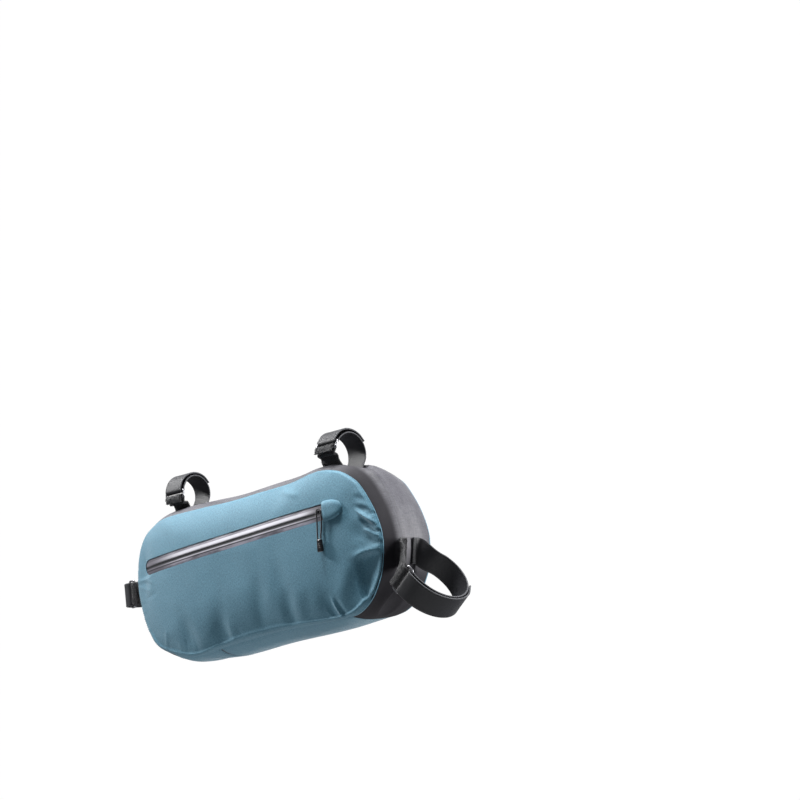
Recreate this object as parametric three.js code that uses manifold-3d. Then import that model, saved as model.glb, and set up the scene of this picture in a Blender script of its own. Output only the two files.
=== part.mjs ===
// A half-frame bag that hangs under a sloping tube and is strapped to three tubes.
// It is a hollow pouch: two blue side panels, a graphite gusset over the top and both ends,
// a blue bottom panel, a covered zip in the near side and four hook-and-loop straps.
// Millimetres, +Z up. X runs to the front, the near side with the zip faces -Y.
// The origin lies on the axis of the sloping tube, straight above the middle of the bag.
import * as THREE from 'three';
import { mergeVertices } from 'three/addons/utils/BufferGeometryUtils.js';
import Module from 'manifold-3d';

const wasm = await Module();
wasm.setup();

// Sizes of the pouch
const tubeSlope = 14.85;
const bagLength = 371;
const bagHeight = 144;
const bagDrop = 94;
const seamDepth = 57;
const farSpread = 8;
const spreadStart = 0.1;
const spreadEnd = 0.8;
const panelSwell = 13;
const panelFullness = 3.4;
const gussetSwell = 9;
const gussetFullness = 2.6;
const clothWall = 1.6;
const seamGap = 0.3;

// Sizes of the tubes that the bag is strapped to, and how near the cloth comes to them
const topTubeRadius = 17.2;
const topTubeTaper = 0.0075;
const rearTubeRadius = 16.3;
const rearTubeBehind = 20;
const frontTubeRadius = 25;
const frontTubeAngle = 37.5;
const frontTubeAhead = 32.6;
const frontTubeDrop = 48.7;
const tubeClearance = 4.2;
const clearanceEase = 0.25;

// Sizes of the zip
const zipLength = 303;
const zipWidth = 16;
const zipSlope = 3.2;
const zipFrontX = 138;
const zipFrontDrop = 57;
const filmWall = 1;
const filmRecess = 0.5;
const filmBead = 0.6;
const filmBeadShare = 0.35;
const filmRearStart = 1.2;
const filmCrowding = 1.15;
const coilWidth = 1.4;
const garageLength = 22;
const garageMouth = 16;
const garageHeight = 20;
const garageRise = 4.2;
const garageWall = 1.2;
const garageClosed = 0.96;
const sliderLength = 8;
const sliderWidth = 7;
const sliderHeight = 1.8;
const tailLength = 7;
const tailHeight = 1.2;
const postWidth = 2.8;
const postHeight = 5;
const postBehindMouth = 4;
const pullCordDiameter = 1.5;
const pullEndLength = 12;
const pullEndWidth = 7;
const pullEndThickness = 4;
const pullEndCorner = 1.4;
const pullEndBevel = 0.6;
const pullEndNarrow = 0.8;

// Sizes of the straps
const strapWidth = 25;
const strapThickness = 1.8;
const webbingThickness = 2.2;
const ringWire = 2.2;
const ringSpan = 7.8;
const ringChamfer = 0.6;
const ringRoom = 0.6;
const ringInnerCorner = 0.4;
const strapClearance = 0.5;
const footGap = 0.4;
const footClear = 0.15;
const footStep = 0.3;
const footMost = 5;
const footShares = [0.45, 0.72, 1];
const loopLead = 20;
const barGap = 0.45;
const layerGap = 1;
const webbingStep = 18;
const bandStep = 24;
const webbingStop = 34;
const bandStop = 12;
const webbingRun = 5;
const webbingBlend = 0.5;
const bandBlend = 0.15;

// Outline of the seams, as shares of half the length and half the height, and how much of the
// gusset's swell each place has. It starts at the front joint of gusset and bottom panel and runs
// up the front, back over the top, down the rear and along the bottom.
const outlineRows = [
  { x: 0.722, z: -0.928, swell: 0.35 },
  { x: 0.808, z: -0.865, swell: 0.35 },
  { x: 0.882, z: -0.732, swell: 0.35 },
  { x: 0.936, z: -0.551, swell: 0.4 },
  { x: 0.977, z: -0.342, swell: 0.5 },
  { x: 0.999, z: 0.035, swell: 0.7 },
  { x: 0.962, z: 0.397, swell: 0.8 },
  { x: 0.886, z: 0.739, swell: 0.8 },
  { x: 0.827, z: 0.886, swell: 0.85 },
  { x: 0.744, z: 1.006, swell: 0.9 },
  { x: 0.633, z: 1.072, swell: 0.95 },
  { x: 0.519, z: 1.069, swell: 0.95 },
  { x: 0.357, z: 1.011, swell: 1 },
  { x: 0.115, z: 0.989, swell: 0.9 },
  { x: -0.135, z: 0.968, swell: 0.9 },
  { x: -0.391, z: 0.974, swell: 0.9 },
  { x: -0.7, z: 0.961, swell: 1 },
  { x: -0.824, z: 0.872, swell: 0.8 },
  { x: -0.913, z: 0.722, swell: 0.6 },
  { x: -0.974, z: 0.444, swell: 0.4 },
  { x: -1, z: 0.03, swell: 0.3 },
  { x: -0.971, z: -0.418, swell: 0.3 },
  { x: -0.922, z: -0.7, swell: 0.3 },
  { x: -0.843, z: -0.914, swell: 0.5 },
  { x: -0.647, z: -1.085, swell: 0.7 },
  { x: -0.505, z: -1.12, swell: 0.45 },
  { x: -0.328, z: -1.064, swell: 0.9 },
  { x: 0.006, z: -0.994, swell: 1 },
  { x: 0.326, z: -0.954, swell: 0.95 },
  { x: 0.56, z: -0.95, swell: 0.7 },
];
const rearJointRow = 23.6;
const jointGap = 0.0006;

// Soft folds of the side panels: place and size as shares of half the length and half the
// height, direction of the fold in degrees, and its height as a share of the panel's swell.
// Only the near panel has the folds beside the zip and the front seam.
const foldRows = [
  { x: 0.86, z: -0.45, long: 0.34, wide: 0.08, angle: 66, rise: -0.34, near: true, far: true },
  { x: 0.74, z: -0.5, long: 0.36, wide: 0.05, angle: 60, rise: 0.1, near: true, far: false },
  { x: 0.9, z: 0.12, long: 0.2, wide: 0.05, angle: -24, rise: -0.24, near: true, far: false },
  { x: 0.9, z: 0.42, long: 0.2, wide: 0.05, angle: -34, rise: -0.2, near: true, far: false },
  { x: 0.62, z: -0.78, long: 0.24, wide: 0.05, angle: 118, rise: -0.2, near: true, far: true },
  { x: 0.3, z: -0.62, long: 0.5, wide: 0.06, angle: 98, rise: -0.15, near: true, far: false },
  { x: 0.1, z: -0.66, long: 0.44, wide: 0.06, angle: 82, rise: -0.14, near: true, far: true },
  { x: -0.25, z: -0.84, long: 0.34, wide: 0.06, angle: 76, rise: -0.2, near: true, far: true },
  { x: -0.52, z: -0.86, long: 0.3, wide: 0.06, angle: 104, rise: -0.16, near: true, far: true },
  { x: -0.9, z: 0.2, long: 0.4, wide: 0.05, angle: 82, rise: -0.16, near: true, far: false },
];

// Straps: place along the tube as a share of half the bag's length, the angles round the tube at
// which the ring sits and the outer layer ends (0 is towards the bag, 90 near, 180 away), the reach
// of the foot as a share of half the seam's depth, and how far the loop stands off its tube
// towards the bag, at the side and away from it, as shares of the strap's width.
const strapRows = [
  { name: 'upper_rear', tube: 'top', along: -0.65, ring: 96, end: 252, foot: 0.386, stand: [0, 0, 0] },
  { name: 'upper_front', tube: 'top', along: 0.628, ring: 120, end: 250, foot: 0.386, stand: [0, 0, 0] },
  { name: 'rear', tube: 'rear', along: -0.011, ring: 94, end: 246, foot: 0.386, stand: [0, 0.06, 0.14] },
  { name: 'front', tube: 'front', along: 0, ring: 92, end: 240, foot: 0.351, stand: [0.52, 0.26, 0] },
];

// The pull cord's middle line, chosen by hand: X, Y, Z in the bag's own tilted frame
const pullCordPoints = [
  [114.0, -43.6, -83.6],
  [113.8, -43.4, -80.0],
  [113.8, -43.1, -76.0],
  [114.0, -42.9, -72.0],
  [114.3, -42.8, -68.0],
  [114.6, -42.8, -64.0],
  [114.8, -42.9, -60.6],
  [115.0, -43.0, -57.6],
  [116.2, -43.0, -55.5],
  [118.0, -43.0, -54.9],
  [119.8, -43.0, -55.5],
  [121.0, -43.0, -57.6],
  [121.1, -42.9, -60.6],
  [120.9, -42.8, -64.0],
  [120.5, -42.8, -68.0],
  [120.0, -42.9, -72.0],
  [119.3, -43.1, -76.0],
  [118.6, -43.4, -80.0],
  [118.2, -43.6, -83.6],
];

// Finishes
const finishes = {
  panelCloth: { color: 0x5f8ea3, roughness: 0.86, metalness: 0 },
  gussetCloth: { color: 0x6a6c76, roughness: 0.62, metalness: 0 },
  zipFilm: { color: 0x8d8a97, roughness: 0.38, metalness: 0 },
  zipCoil: { color: 0x16161a, roughness: 0.6, metalness: 0 },
  blackPlastic: { color: 0x17181b, roughness: 0.45, metalness: 0 },
  blackCord: { color: 0x15161a, roughness: 0.8, metalness: 0 },
  strapFace: { color: 0x3f4046, roughness: 0.5, metalness: 0 },
  strapPile: { color: 0x101114, roughness: 0.95, metalness: 0 },
  ringMetal: { color: 0x2a2c30, roughness: 0.3, metalness: 0.9 },
};

const halfLength = bagLength / 2;
const halfHeight = bagHeight / 2;
const halfSeam = seamDepth / 2;
const toRadians = THREE.MathUtils.degToRad;
const vector = (x, y, z) => new THREE.Vector3(x, y, z);

// The seam outline as a closed curve; Y carries the gusset's swell
const outlineCurve = new THREE.CatmullRomCurve3(
  outlineRows.map((row) => vector(row.x * halfLength, row.swell * gussetSwell, row.z * halfHeight)),
  true,
  'catmullrom',
  0.5
);
const rearJoint = rearJointRow / outlineRows.length;

// Distance from the outline's middle to the outline, for each direction
const outlineSamples = outlineCurve.getPoints(outlineRows.length * 12).map((point) => ({
  angle: Math.atan2(point.z, point.x),
  reach: Math.hypot(point.x, point.z),
}));
outlineSamples.pop();
outlineSamples.sort((a, b) => a.angle - b.angle);

function outlineReach(angle) {
  const count = outlineSamples.length;
  const after = outlineSamples.findIndex((sample) => sample.angle >= angle);
  const high = outlineSamples[after < 0 ? 0 : after];
  const low = outlineSamples[((after < 0 ? 0 : after) - 1 + count) % count];
  const turn = 2 * Math.PI;
  const span = (high.angle - low.angle + turn) % turn;
  const part = (angle - low.angle + turn) % turn;
  return THREE.MathUtils.lerp(low.reach, high.reach, part / span);
}

// How far a fold lifts or sinks the panel at a point given from the outline's middle
function foldHeight(x, z, near) {
  let height = 0;
  for (const fold of foldRows.filter((row) => (near ? row.near : row.far))) {
    const turn = toRadians(fold.angle);
    const dx = x - fold.x * halfLength;
    const dz = z - fold.z * halfHeight;
    const along = (dx * Math.cos(turn) + dz * Math.sin(turn)) / (fold.long * halfHeight);
    const across = (-dx * Math.sin(turn) + dz * Math.cos(turn)) / (fold.wide * halfLength);
    height += fold.rise * panelSwell * Math.exp(-along * along - across * across);
  }
  return height;
}

// The pouch is deeper at its front: how much further out the far seam lies there
function farOut(x) {
  return farSpread * THREE.MathUtils.smoothstep(x, spreadStart * halfLength, spreadEnd * halfLength);
}

// How far a side panel's outer face stands out from the middle plane; z is in the bag's frame
function panelOut(x, z, near = true) {
  const up = z + bagDrop;
  const share = Math.min(1, Math.hypot(x, up) / outlineReach(Math.atan2(up, x)));
  const crown = panelSwell * (1 - share ** panelFullness);
  const folds = foldHeight(x, up, near) * (1 - share ** 8);
  return halfSeam + seamGap + clothWall + crown + folds + (near ? 0 : farOut(x));
}

// Adds the two triangles of a four-cornered face, leaving out any that has collapsed to a line
function addFace(list, a, b, c, d) {
  for (const [p, q, r] of [[a, b, c], [a, c, d]]) {
    const area = q.clone().sub(p).cross(r.clone().sub(p)).length();
    if (area > 1e-5) list.push(p, q, r);
  }
}

// Makes a geometry from loose triangles, with its faces pointing out
function solidFrom(corners) {
  let volume = 0;
  for (let i = 0; i < corners.length; i += 3) {
    volume += corners[i].dot(corners[i + 1].clone().cross(corners[i + 2]));
  }
  const flip = volume < 0;
  const numbers = [];
  for (let i = 0; i < corners.length; i += 3) {
    const order = flip ? [0, 2, 1] : [0, 1, 2];
    for (const k of order) numbers.push(...corners[i + k].toArray());
  }
  const loose = new THREE.BufferGeometry();
  loose.setAttribute('position', new THREE.Float32BufferAttribute(numbers, 3));
  return loose;
}

// A closed wall between an outer and an inner grid of points
function wallBetween(outer, inner) {
  const corners = [];
  const lastRow = outer.length - 1;
  const last = outer[0].length - 1;
  for (let i = 0; i < lastRow; i += 1) {
    for (let j = 0; j < last; j += 1) {
      addFace(corners, outer[i][j], outer[i + 1][j], outer[i + 1][j + 1], outer[i][j + 1]);
      addFace(corners, inner[i][j + 1], inner[i + 1][j + 1], inner[i + 1][j], inner[i][j]);
    }
    addFace(corners, outer[i][0], inner[i][0], inner[i + 1][0], outer[i + 1][0]);
    addFace(corners, outer[i][last], outer[i + 1][last], inner[i + 1][last], inner[i][last]);
  }
  for (let j = 0; j < last; j += 1) {
    addFace(corners, outer[0][j], outer[0][j + 1], inner[0][j + 1], inner[0][j]);
    addFace(corners, outer[lastRow][j + 1], outer[lastRow][j], inner[lastRow][j], inner[lastRow][j + 1]);
  }
  return solidFrom(corners);
}

// Joining and cutting of closed shapes
function toManifold(geometry) {
  const bare = geometry.clone();
  bare.deleteAttribute('normal');
  bare.deleteAttribute('uv');
  const merged = mergeVertices(bare, 1e-4);
  return new wasm.Manifold(new wasm.Mesh({
    numProp: 3,
    vertProperties: new Float32Array(merged.attributes.position.array),
    triVerts: new Uint32Array(merged.index.array),
  }));
}

function fromManifold(shape) {
  const mesh = shape.getMesh();
  const geometry = new THREE.BufferGeometry();
  geometry.setAttribute('position', new THREE.BufferAttribute(mesh.vertProperties, 3));
  geometry.setIndex(new THREE.BufferAttribute(mesh.triVerts, 1));
  return geometry;
}

function cutFrom(body, tool) {
  return fromManifold(toManifold(body).subtract(toManifold(tool)));
}

function joined(first, second) {
  return fromManifold(toManifold(first).add(toManifold(second)));
}

// The seam's height at a place along the bag, on its upper or its lower run
const seamSamples = outlineCurve.getPoints(outlineRows.length * 12);
const seamFront = seamSamples.reduce((a, b) => (b.x > a.x ? b : a));
const seamRear = seamSamples.reduce((a, b) => (b.x < a.x ? b : a));
const endLine = (x) => THREE.MathUtils.mapLinear(x, seamRear.x, seamFront.x, seamRear.z, seamFront.z);

function seamHeight(x, upper) {
  let height = endLine(x);
  for (let i = 1; i < seamSamples.length; i += 1) {
    const a = seamSamples[i - 1];
    const b = seamSamples[i];
    if ((x - a.x) * (x - b.x) > 0 || a.x === b.x) continue;
    const z = THREE.MathUtils.mapLinear(x, a.x, b.x, a.z, b.z);
    if (upper ? z > height : z < height) height = z;
  }
  return height;
}

// Side panel: columns of points from the rear end to the front end, each from seam to seam
function sidePanel(sign, alongSteps, heightSteps) {
  const middle = (seamFront.x + seamRear.x) / 2;
  const reach = (seamFront.x - seamRear.x) / 2;
  const grid = (depth) => {
    const columns = [];
    for (let i = 0; i <= alongSteps; i += 1) {
      const x = middle - reach * Math.cos((i / alongSteps) * Math.PI);
      const atEnd = i === 0 || i === alongSteps;
      const low = atEnd ? endLine(x) : seamHeight(x, false);
      const high = atEnd ? endLine(x) : seamHeight(x, true);
      const column = [];
      for (let j = 0; j <= heightSteps; j += 1) {
        const share = (1 - Math.cos((j / heightSteps) * Math.PI)) / 2;
        const z = THREE.MathUtils.lerp(low, high, share) - bagDrop;
        column.push(vector(x, sign * (panelOut(x, z, sign < 0) - depth), z));
      }
      columns.push(column);
    }
    return columns;
  };
  return wallBetween(grid(0), grid(clothWall));
}

// Tubes that press into the gusset
const frontTubeTurn = toRadians(frontTubeAngle);
const tubes = {
  top: {
    point: vector(0, 0, 0),
    axis: vector(1, 0, 0),
    away: vector(0, 0, 1),
    radius: topTubeRadius,
    taper: topTubeTaper,
  },
  rear: {
    point: vector(-halfLength - rearTubeBehind, 0, -bagDrop),
    axis: vector(0, 0, 1),
    away: vector(-1, 0, 0),
    radius: rearTubeRadius,
    taper: 0,
  },
  front: {
    point: vector(halfLength + frontTubeAhead, 0, -bagDrop - frontTubeDrop),
    axis: vector(-Math.cos(frontTubeTurn), 0, -Math.sin(frontTubeTurn)),
    away: vector(Math.sin(frontTubeTurn), 0, -Math.cos(frontTubeTurn)),
    radius: frontTubeRadius,
    taper: 0,
  },
};

function tubeRadiusAt(tube, along) {
  return tube.radius + tube.taper * along;
}

// Moves a point of the gusset inwards until it clears every tube
function clearOfTubes(point, inward) {
  const moved = point.clone();
  for (const tube of Object.values(tubes)) {
    for (let step = 0; step < 24; step += 1) {
      const offset = moved.clone().sub(tube.point);
      const along = offset.dot(tube.axis);
      const radial = offset.addScaledVector(tube.axis, -along);
      const missing = tubeRadiusAt(tube, along) + tubeClearance - radial.length();
      if (missing <= 0.001) break;
      const gain = Math.max(0.4, radial.normalize().dot(inward));
      moved.addScaledVector(inward, missing / gain);
    }
  }
  return moved;
}

// A point of the gusset or bottom panel: a share round the outline and a share across its depth
function bandPoint(around, across, depth = 0) {
  const seam = outlineCurve.getPoint(((around % 1) + 1) % 1);
  const ahead = outlineCurve.getTangent(((around % 1) + 1) % 1);
  const outward = vector(ahead.z, 0, -ahead.x).normalize();
  const swell = seam.y * (1 - Math.abs(across) ** gussetFullness);
  const aside = across * halfSeam + farOut(seam.x) * Math.max(0, across) ** 2;
  const surface = vector(seam.x, aside, seam.z - bagDrop).addScaledVector(outward, swell);
  const cleared = clearOfTubes(surface, outward.clone().negate());
  const ease = THREE.MathUtils.clamp((1 - Math.abs(across)) / clearanceEase, 0, 1);
  surface.lerp(cleared, ease);
  return surface.addScaledVector(outward, -depth);
}

function bandWall(from, to, stepsAround, stepsAcross) {
  const grid = (depth) => {
    const rows = [];
    for (let i = 0; i <= stepsAround; i += 1) {
      const around = THREE.MathUtils.lerp(from, to, i / stepsAround);
      const row = [];
      for (let j = 0; j <= stepsAcross; j += 1) {
        row.push(bandPoint(around, (2 * j) / stepsAcross - 1, depth));
      }
      rows.push(row);
    }
    return rows;
  };
  return wallBetween(grid(0), grid(clothWall));
}

// Zip: places along its middle line, and a point beside it on the near panel
const zipTurn = toRadians(zipSlope);
const zipAlong = { x: Math.cos(zipTurn), z: Math.sin(zipTurn) };
const zipHalf = zipWidth / 2;

function zipPlace(fromFront, above) {
  return {
    x: zipFrontX - fromFront * zipAlong.x - above * zipAlong.z,
    z: -zipFrontDrop - fromFront * zipAlong.z + above * zipAlong.x,
  };
}

function onPanel(fromFront, above, lift) {
  const place = zipPlace(fromFront, above);
  return vector(place.x, -panelOut(place.x, place.z) - lift, place.z);
}

// The slot in the near panel has a square front end and a round rear end
function zipSlot() {
  const shape = new THREE.Shape();
  shape.moveTo(0, -zipHalf);
  shape.lineTo(0, zipHalf);
  shape.lineTo(-zipLength + zipHalf, zipHalf);
  shape.absarc(-zipLength + zipHalf, 0, zipHalf, Math.PI / 2, (3 * Math.PI) / 2, false);
  shape.closePath();
  const slotDepth = panelSwell * 4;
  const slot = new THREE.ExtrudeGeometry(shape, {
    depth: slotDepth,
    bevelEnabled: false,
    curveSegments: 12,
  });
  slot.rotateX(Math.PI / 2);
  slot.rotateY(-zipTurn);
  slot.translate(zipFrontX, -halfSeam + panelSwell / 2, -zipFrontDrop);
  return slot;
}

// Half the width of the zip's cover at a distance from its rear end, less the gap to the cloth
function zipReach(fromRear) {
  const reach = zipHalf - seamGap;
  const short = Math.max(0, zipHalf - fromRear);
  return Math.sqrt(Math.max(0, reach * reach - short * short));
}

// One strip of the zip between two distances from its middle line
function zipStrip(steps, columnsAt, side) {
  const grid = (depth) => {
    const rows = [];
    for (let i = 0; i <= steps; i += 1) {
      const share = (i / steps) ** filmCrowding;
      const fromRear = THREE.MathUtils.lerp(filmRearStart, zipLength - seamGap, share);
      const columns = columnsAt(fromRear);
      rows.push(columns.map(({ away, lift }) => (
        onPanel(zipLength - fromRear, side * away, lift - filmRecess - depth)
      )));
    }
    return rows;
  };
  return wallBetween(grid(0), grid(filmWall));
}

const filmSteps = 22;
const filmStart = coilWidth / 2 + seamGap;

function zipFilm(side) {
  return zipStrip(filmSteps, (fromRear) => {
    const reach = zipReach(fromRear);
    const beadEnd = filmStart + (reach - filmStart) * filmBeadShare;
    return [
      { away: filmStart, lift: 0 },
      { away: filmStart + (beadEnd - filmStart) * 0.5, lift: filmBead },
      { away: beadEnd, lift: 0 },
      { away: reach, lift: 0 },
    ];
  }, side);
}

function zipCoil() {
  return zipStrip(filmSteps, () => [
    { away: -coilWidth / 2, lift: -filmBead },
    { away: coilWidth / 2, lift: -filmBead },
  ], 1);
}

// The garage is a small raised pocket of cloth over the zip's front end, open to the rear
function zipGarage() {
  const steps = 10;
  const columns = 10;
  const grid = (depth) => {
    const rows = [];
    for (let i = 0; i <= steps; i += 1) {
      const share = Math.sin((i / steps) * (Math.PI / 2) * garageClosed);
      const ahead = garageMouth - share * garageLength;
      const half = (garageHeight / 2) * Math.sqrt(1 - share ** 3);
      const row = [];
      for (let j = 0; j <= columns; j += 1) {
        const across = -Math.cos((j / columns) * Math.PI);
        const dome = garageRise * Math.sqrt(1 - share ** 4) * (1 - across ** 4);
        row.push(onPanel(ahead, across * half, seamGap + garageWall + dome - depth));
      }
      rows.push(row);
    }
    return rows;
  };
  return wallBetween(grid(0), grid(garageWall));
}

// The slider parks under the garage; its tail ends in a post that the pull cord hangs on
const postFromFront = garageMouth + postBehindMouth;
const sliderFromFront = postFromFront + postWidth / 2 - tailLength - sliderLength / 2;

function zipSlider() {
  const body = new THREE.BoxGeometry(sliderLength, sliderHeight, sliderWidth);
  body.translate(0, -sliderHeight / 2, 0);
  const side = new THREE.Shape();
  const tailEnd = sliderLength / 2 + tailLength;
  side.moveTo(0, 0);
  side.lineTo(tailEnd, 0);
  side.lineTo(tailEnd, postHeight);
  side.lineTo(tailEnd - postWidth, postHeight);
  side.lineTo(tailEnd - postWidth, tailHeight);
  side.lineTo(0, tailHeight);
  side.closePath();
  const tail = new THREE.ExtrudeGeometry(side, { depth: postWidth, bevelEnabled: false });
  tail.translate(0, 0, -postWidth / 2);
  tail.rotateZ(Math.PI);
  return joined(body, tail);
}

// Pull cord and its moulded end
function pullCord() {
  const radius = pullCordDiameter / 2;
  const section = new THREE.Shape();
  const sides = 8;
  for (let k = 0; k < sides; k += 1) {
    const turn = (k / sides) * 2 * Math.PI;
    const place = [radius * Math.cos(turn), radius * Math.sin(turn)];
    if (k === 0) section.moveTo(...place);
    else section.lineTo(...place);
  }
  section.closePath();
  const route = new THREE.CatmullRomCurve3(pullCordPoints.map((point) => vector(...point)));
  return new THREE.ExtrudeGeometry(section, { steps: 30, extrudePath: route, bevelEnabled: false });
}

const pullCordEnds = [pullCordPoints[0], pullCordPoints[pullCordPoints.length - 1]];
const pullEndTop = vector(...pullCordEnds[0]).add(vector(...pullCordEnds[1])).multiplyScalar(0.5);

function pullEnd() {
  const half = pullEndWidth / 2;
  const shape = new THREE.Shape();
  shape.moveTo(-half * pullEndNarrow, 0);
  shape.lineTo(half * pullEndNarrow, 0);
  shape.lineTo(half, -pullEndLength + pullEndCorner);
  shape.lineTo(half - pullEndCorner, -pullEndLength);
  shape.lineTo(-half + pullEndCorner, -pullEndLength);
  shape.lineTo(-half, -pullEndLength + pullEndCorner);
  shape.closePath();
  const body = new THREE.ExtrudeGeometry(shape, {
    depth: pullEndThickness - 2 * pullEndBevel,
    bevelEnabled: true,
    bevelThickness: pullEndBevel,
    bevelSize: pullEndBevel * 0.7,
    bevelOffset: -pullEndBevel * 0.7,
    bevelSegments: 1,
  });
  body.translate(0, 0, pullEndBevel - pullEndThickness / 2);
  body.rotateX(Math.PI / 2);
  return body;
}

// A flat ribbon along a list of stations, each with a place, a width direction and a face
function ribbon(stations, width, thickness) {
  const outer = [];
  const inner = [];
  for (const { place, across, face } of stations) {
    const side = across.clone().multiplyScalar(width / 2);
    const lift = face.clone().multiplyScalar(thickness / 2);
    outer.push([place.clone().sub(side).add(lift), place.clone().add(side).add(lift)]);
    inner.push([place.clone().sub(side).sub(lift), place.clone().add(side).sub(lift)]);
  }
  return wallBetween(outer, inner);
}

// Stations along a smooth line through the given points, with a width direction at each end
function stationsAlong(points, firstAcross, lastAcross, blendShare) {
  const footShare = (footShares.length - 1) / (points.length - 1);
  const line = new THREE.CatmullRomCurve3(points, false, 'centripetal');
  const stations = [];
  const steps = (points.length - 1) * 2;
  for (let i = 0; i <= steps; i += 1) {
    const share = i / steps;
    const place = line.getPoint(share);
    const heading = line.getTangent(share);
    const blend = THREE.MathUtils.smoothstep(share, footShare, blendShare);
    const across = firstAcross.clone().lerp(lastAcross, blend);
    across.addScaledVector(heading, -across.dot(heading)).normalize();
    const face = heading.clone().cross(across).normalize();
    stations.push({ place, across, face });
  }
  return stations;
}

// The walk round the outline that brings the gusset to a strap's crossing
function walkTo(test) {
  let best = 0;
  let least = Infinity;
  for (let i = 0; i <= 600; i += 1) {
    const around = (i / 600) * rearJoint;
    const miss = test(bandPoint(around, 0));
    if (miss < least) {
      least = miss;
      best = around;
    }
  }
  return best;
}

// Everything that one strap needs: its own frame on its tube and the loop's path
function strapFrame(row) {
  const tube = tubes[row.tube];
  const near = tube.axis.clone().cross(tube.away);
  const along = row.along * halfLength;
  const centre = tube.point.clone().addScaledVector(tube.axis, along);
  const radius = tubeRadiusAt(tube, along);
  const base = radius + strapClearance + strapThickness / 2;
  const [bagReach, sideReach, awayReach] = row.stand.map((share) => base + share * strapWidth);
  const middle = (awayReach - bagReach) / 2;
  const tall = (awayReach + bagReach) / 2;
  const at = (degrees, lift = 0, ahead = 0) => {
    const turn = toRadians(degrees);
    const headN = sideReach * Math.cos(turn);
    const headU = tall * Math.sin(turn);
    const size = Math.hypot(headN, headU);
    const n = sideReach * Math.sin(turn) + (lift * headU + ahead * headN) / size;
    const u = middle - tall * Math.cos(turn) + (-lift * headN + ahead * headU) / size;
    return centre.clone().addScaledVector(near, n).addScaledVector(tube.away, u);
  };
  const walk = walkTo((point) => {
    const offset = point.clone().sub(centre);
    const aside = offset.dot(tube.axis);
    const distance = offset.addScaledVector(tube.axis, -aside).length();
    return Math.abs(aside) + 0.3 * distance;
  });
  return { row, tube, near, centre, at, walk };
}

// The gusset's own direction under a strap, pointing the way the tube does
function gussetRun(frame, share) {
  const step = 0.004;
  const ahead = bandPoint(frame.walk + step, share).sub(bandPoint(frame.walk - step, share));
  const perWalk = ahead.length() / (2 * step);
  if (ahead.dot(frame.tube.axis) < 0) ahead.negate();
  return { heading: ahead.normalize(), perWalk };
}

// A foot of a strap: it lies on one side of the gusset's middle, clear of the cloth right across
function footPoints(frame, side, thickness, lift) {
  const outer = side * frame.row.foot;
  return footShares.map((part) => {
    const share = outer * part;
    const { heading, perWalk } = gussetRun(frame, share);
    const sideways = bandPoint(frame.walk, share + 0.03).sub(bandPoint(frame.walk, share - 0.03));
    const normal = sideways.cross(heading).normalize();
    const middle = bandPoint(frame.walk, share);
    if (normal.dot(frame.tube.point.clone().sub(middle)) < 0) normal.negate();
    let proud = 0;
    for (const aside of [-0.5, -0.3, -0.15, 0.15, 0.3, 0.5]) {
      const beside = bandPoint(frame.walk + (aside * strapWidth) / perWalk, share);
      proud = Math.max(proud, beside.sub(middle).dot(normal));
    }
    return middle.addScaledVector(normal, proud + thickness / 2 + lift);
  });
}

// The angle round the tube at which a strap has left its foot and follows the loop
function loopStart(frame, foot) {
  const offset = foot.clone().sub(frame.centre);
  const aside = Math.abs(offset.dot(frame.near));
  const towardsBag = -offset.dot(frame.tube.away);
  return THREE.MathUtils.radToDeg(Math.atan2(aside, towardsBag)) + loopLead;
}

const barTurn = ringWire / 2 + barGap;
const bandTurn = barTurn + strapThickness / 2;
const webbingTurn = barTurn + webbingThickness / 2;

// Pile webbing: from its foot on the gusset up to the ring and back round the ring's lower bar
function strapWebbing(frame, footLift) {
  const { row, at, tube } = frame;
  const bar = { lift: bandTurn, ahead: -ringSpan };
  const points = [...footPoints(frame, -1, webbingThickness, footLift)];
  const start = loopStart(frame, points[points.length - 1]);
  for (let turn = start; turn < row.ring - webbingStop; turn += webbingStep) points.push(at(turn, 0.1));
  points.push(at(row.ring, bar.lift - webbingTurn, bar.ahead - webbingRun));
  points.push(at(row.ring, bar.lift - webbingTurn, bar.ahead));
  points.push(at(row.ring, bar.lift - webbingTurn * 0.7, bar.ahead + webbingTurn * 0.7));
  points.push(at(row.ring, bar.lift, bar.ahead + webbingTurn));
  points.push(at(row.ring, bar.lift + webbingTurn * 0.7, bar.ahead + webbingTurn * 0.7));
  points.push(at(row.ring, bar.lift + webbingTurn, bar.ahead));
  points.push(at(row.ring, bar.lift + webbingTurn * 0.6, bar.ahead - webbingRun));
  const { heading } = gussetRun(frame, -row.foot);
  const stations = stationsAlong(points, heading, tube.axis, webbingBlend);
  return ribbon(stations, strapWidth - 1, webbingThickness);
}

// Smooth band: from its far foot round the tube, through the ring and back over itself
function strapBand(frame, footLift) {
  const { row, at, tube } = frame;
  const points = [...footPoints(frame, 1, strapThickness, footLift)];
  const start = 360 - loopStart(frame, points[points.length - 1]);
  for (let turn = start; turn > row.ring + bandStop; turn -= bandStep) points.push(at(turn));
  points.push(at(row.ring, 0, 3));
  points.push(at(row.ring));
  points.push(at(row.ring, bandTurn * 0.3, -bandTurn * 0.7));
  points.push(at(row.ring, bandTurn, -bandTurn));
  points.push(at(row.ring, bandTurn * 1.7, -bandTurn * 0.7));
  points.push(at(row.ring, bandTurn * 2));
  for (let turn = row.ring + bandStop * 2; turn <= row.end; turn += bandStep) {
    const close = THREE.MathUtils.smoothstep(turn, row.ring, row.ring + 90);
    points.push(at(turn, THREE.MathUtils.lerp(bandTurn * 2, strapThickness + layerGap, close)));
  }
  const { heading } = gussetRun(frame, row.foot);
  const stations = stationsAlong(points, heading, tube.axis, bandBlend);
  return ribbon(stations, strapWidth, strapThickness);
}

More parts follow.
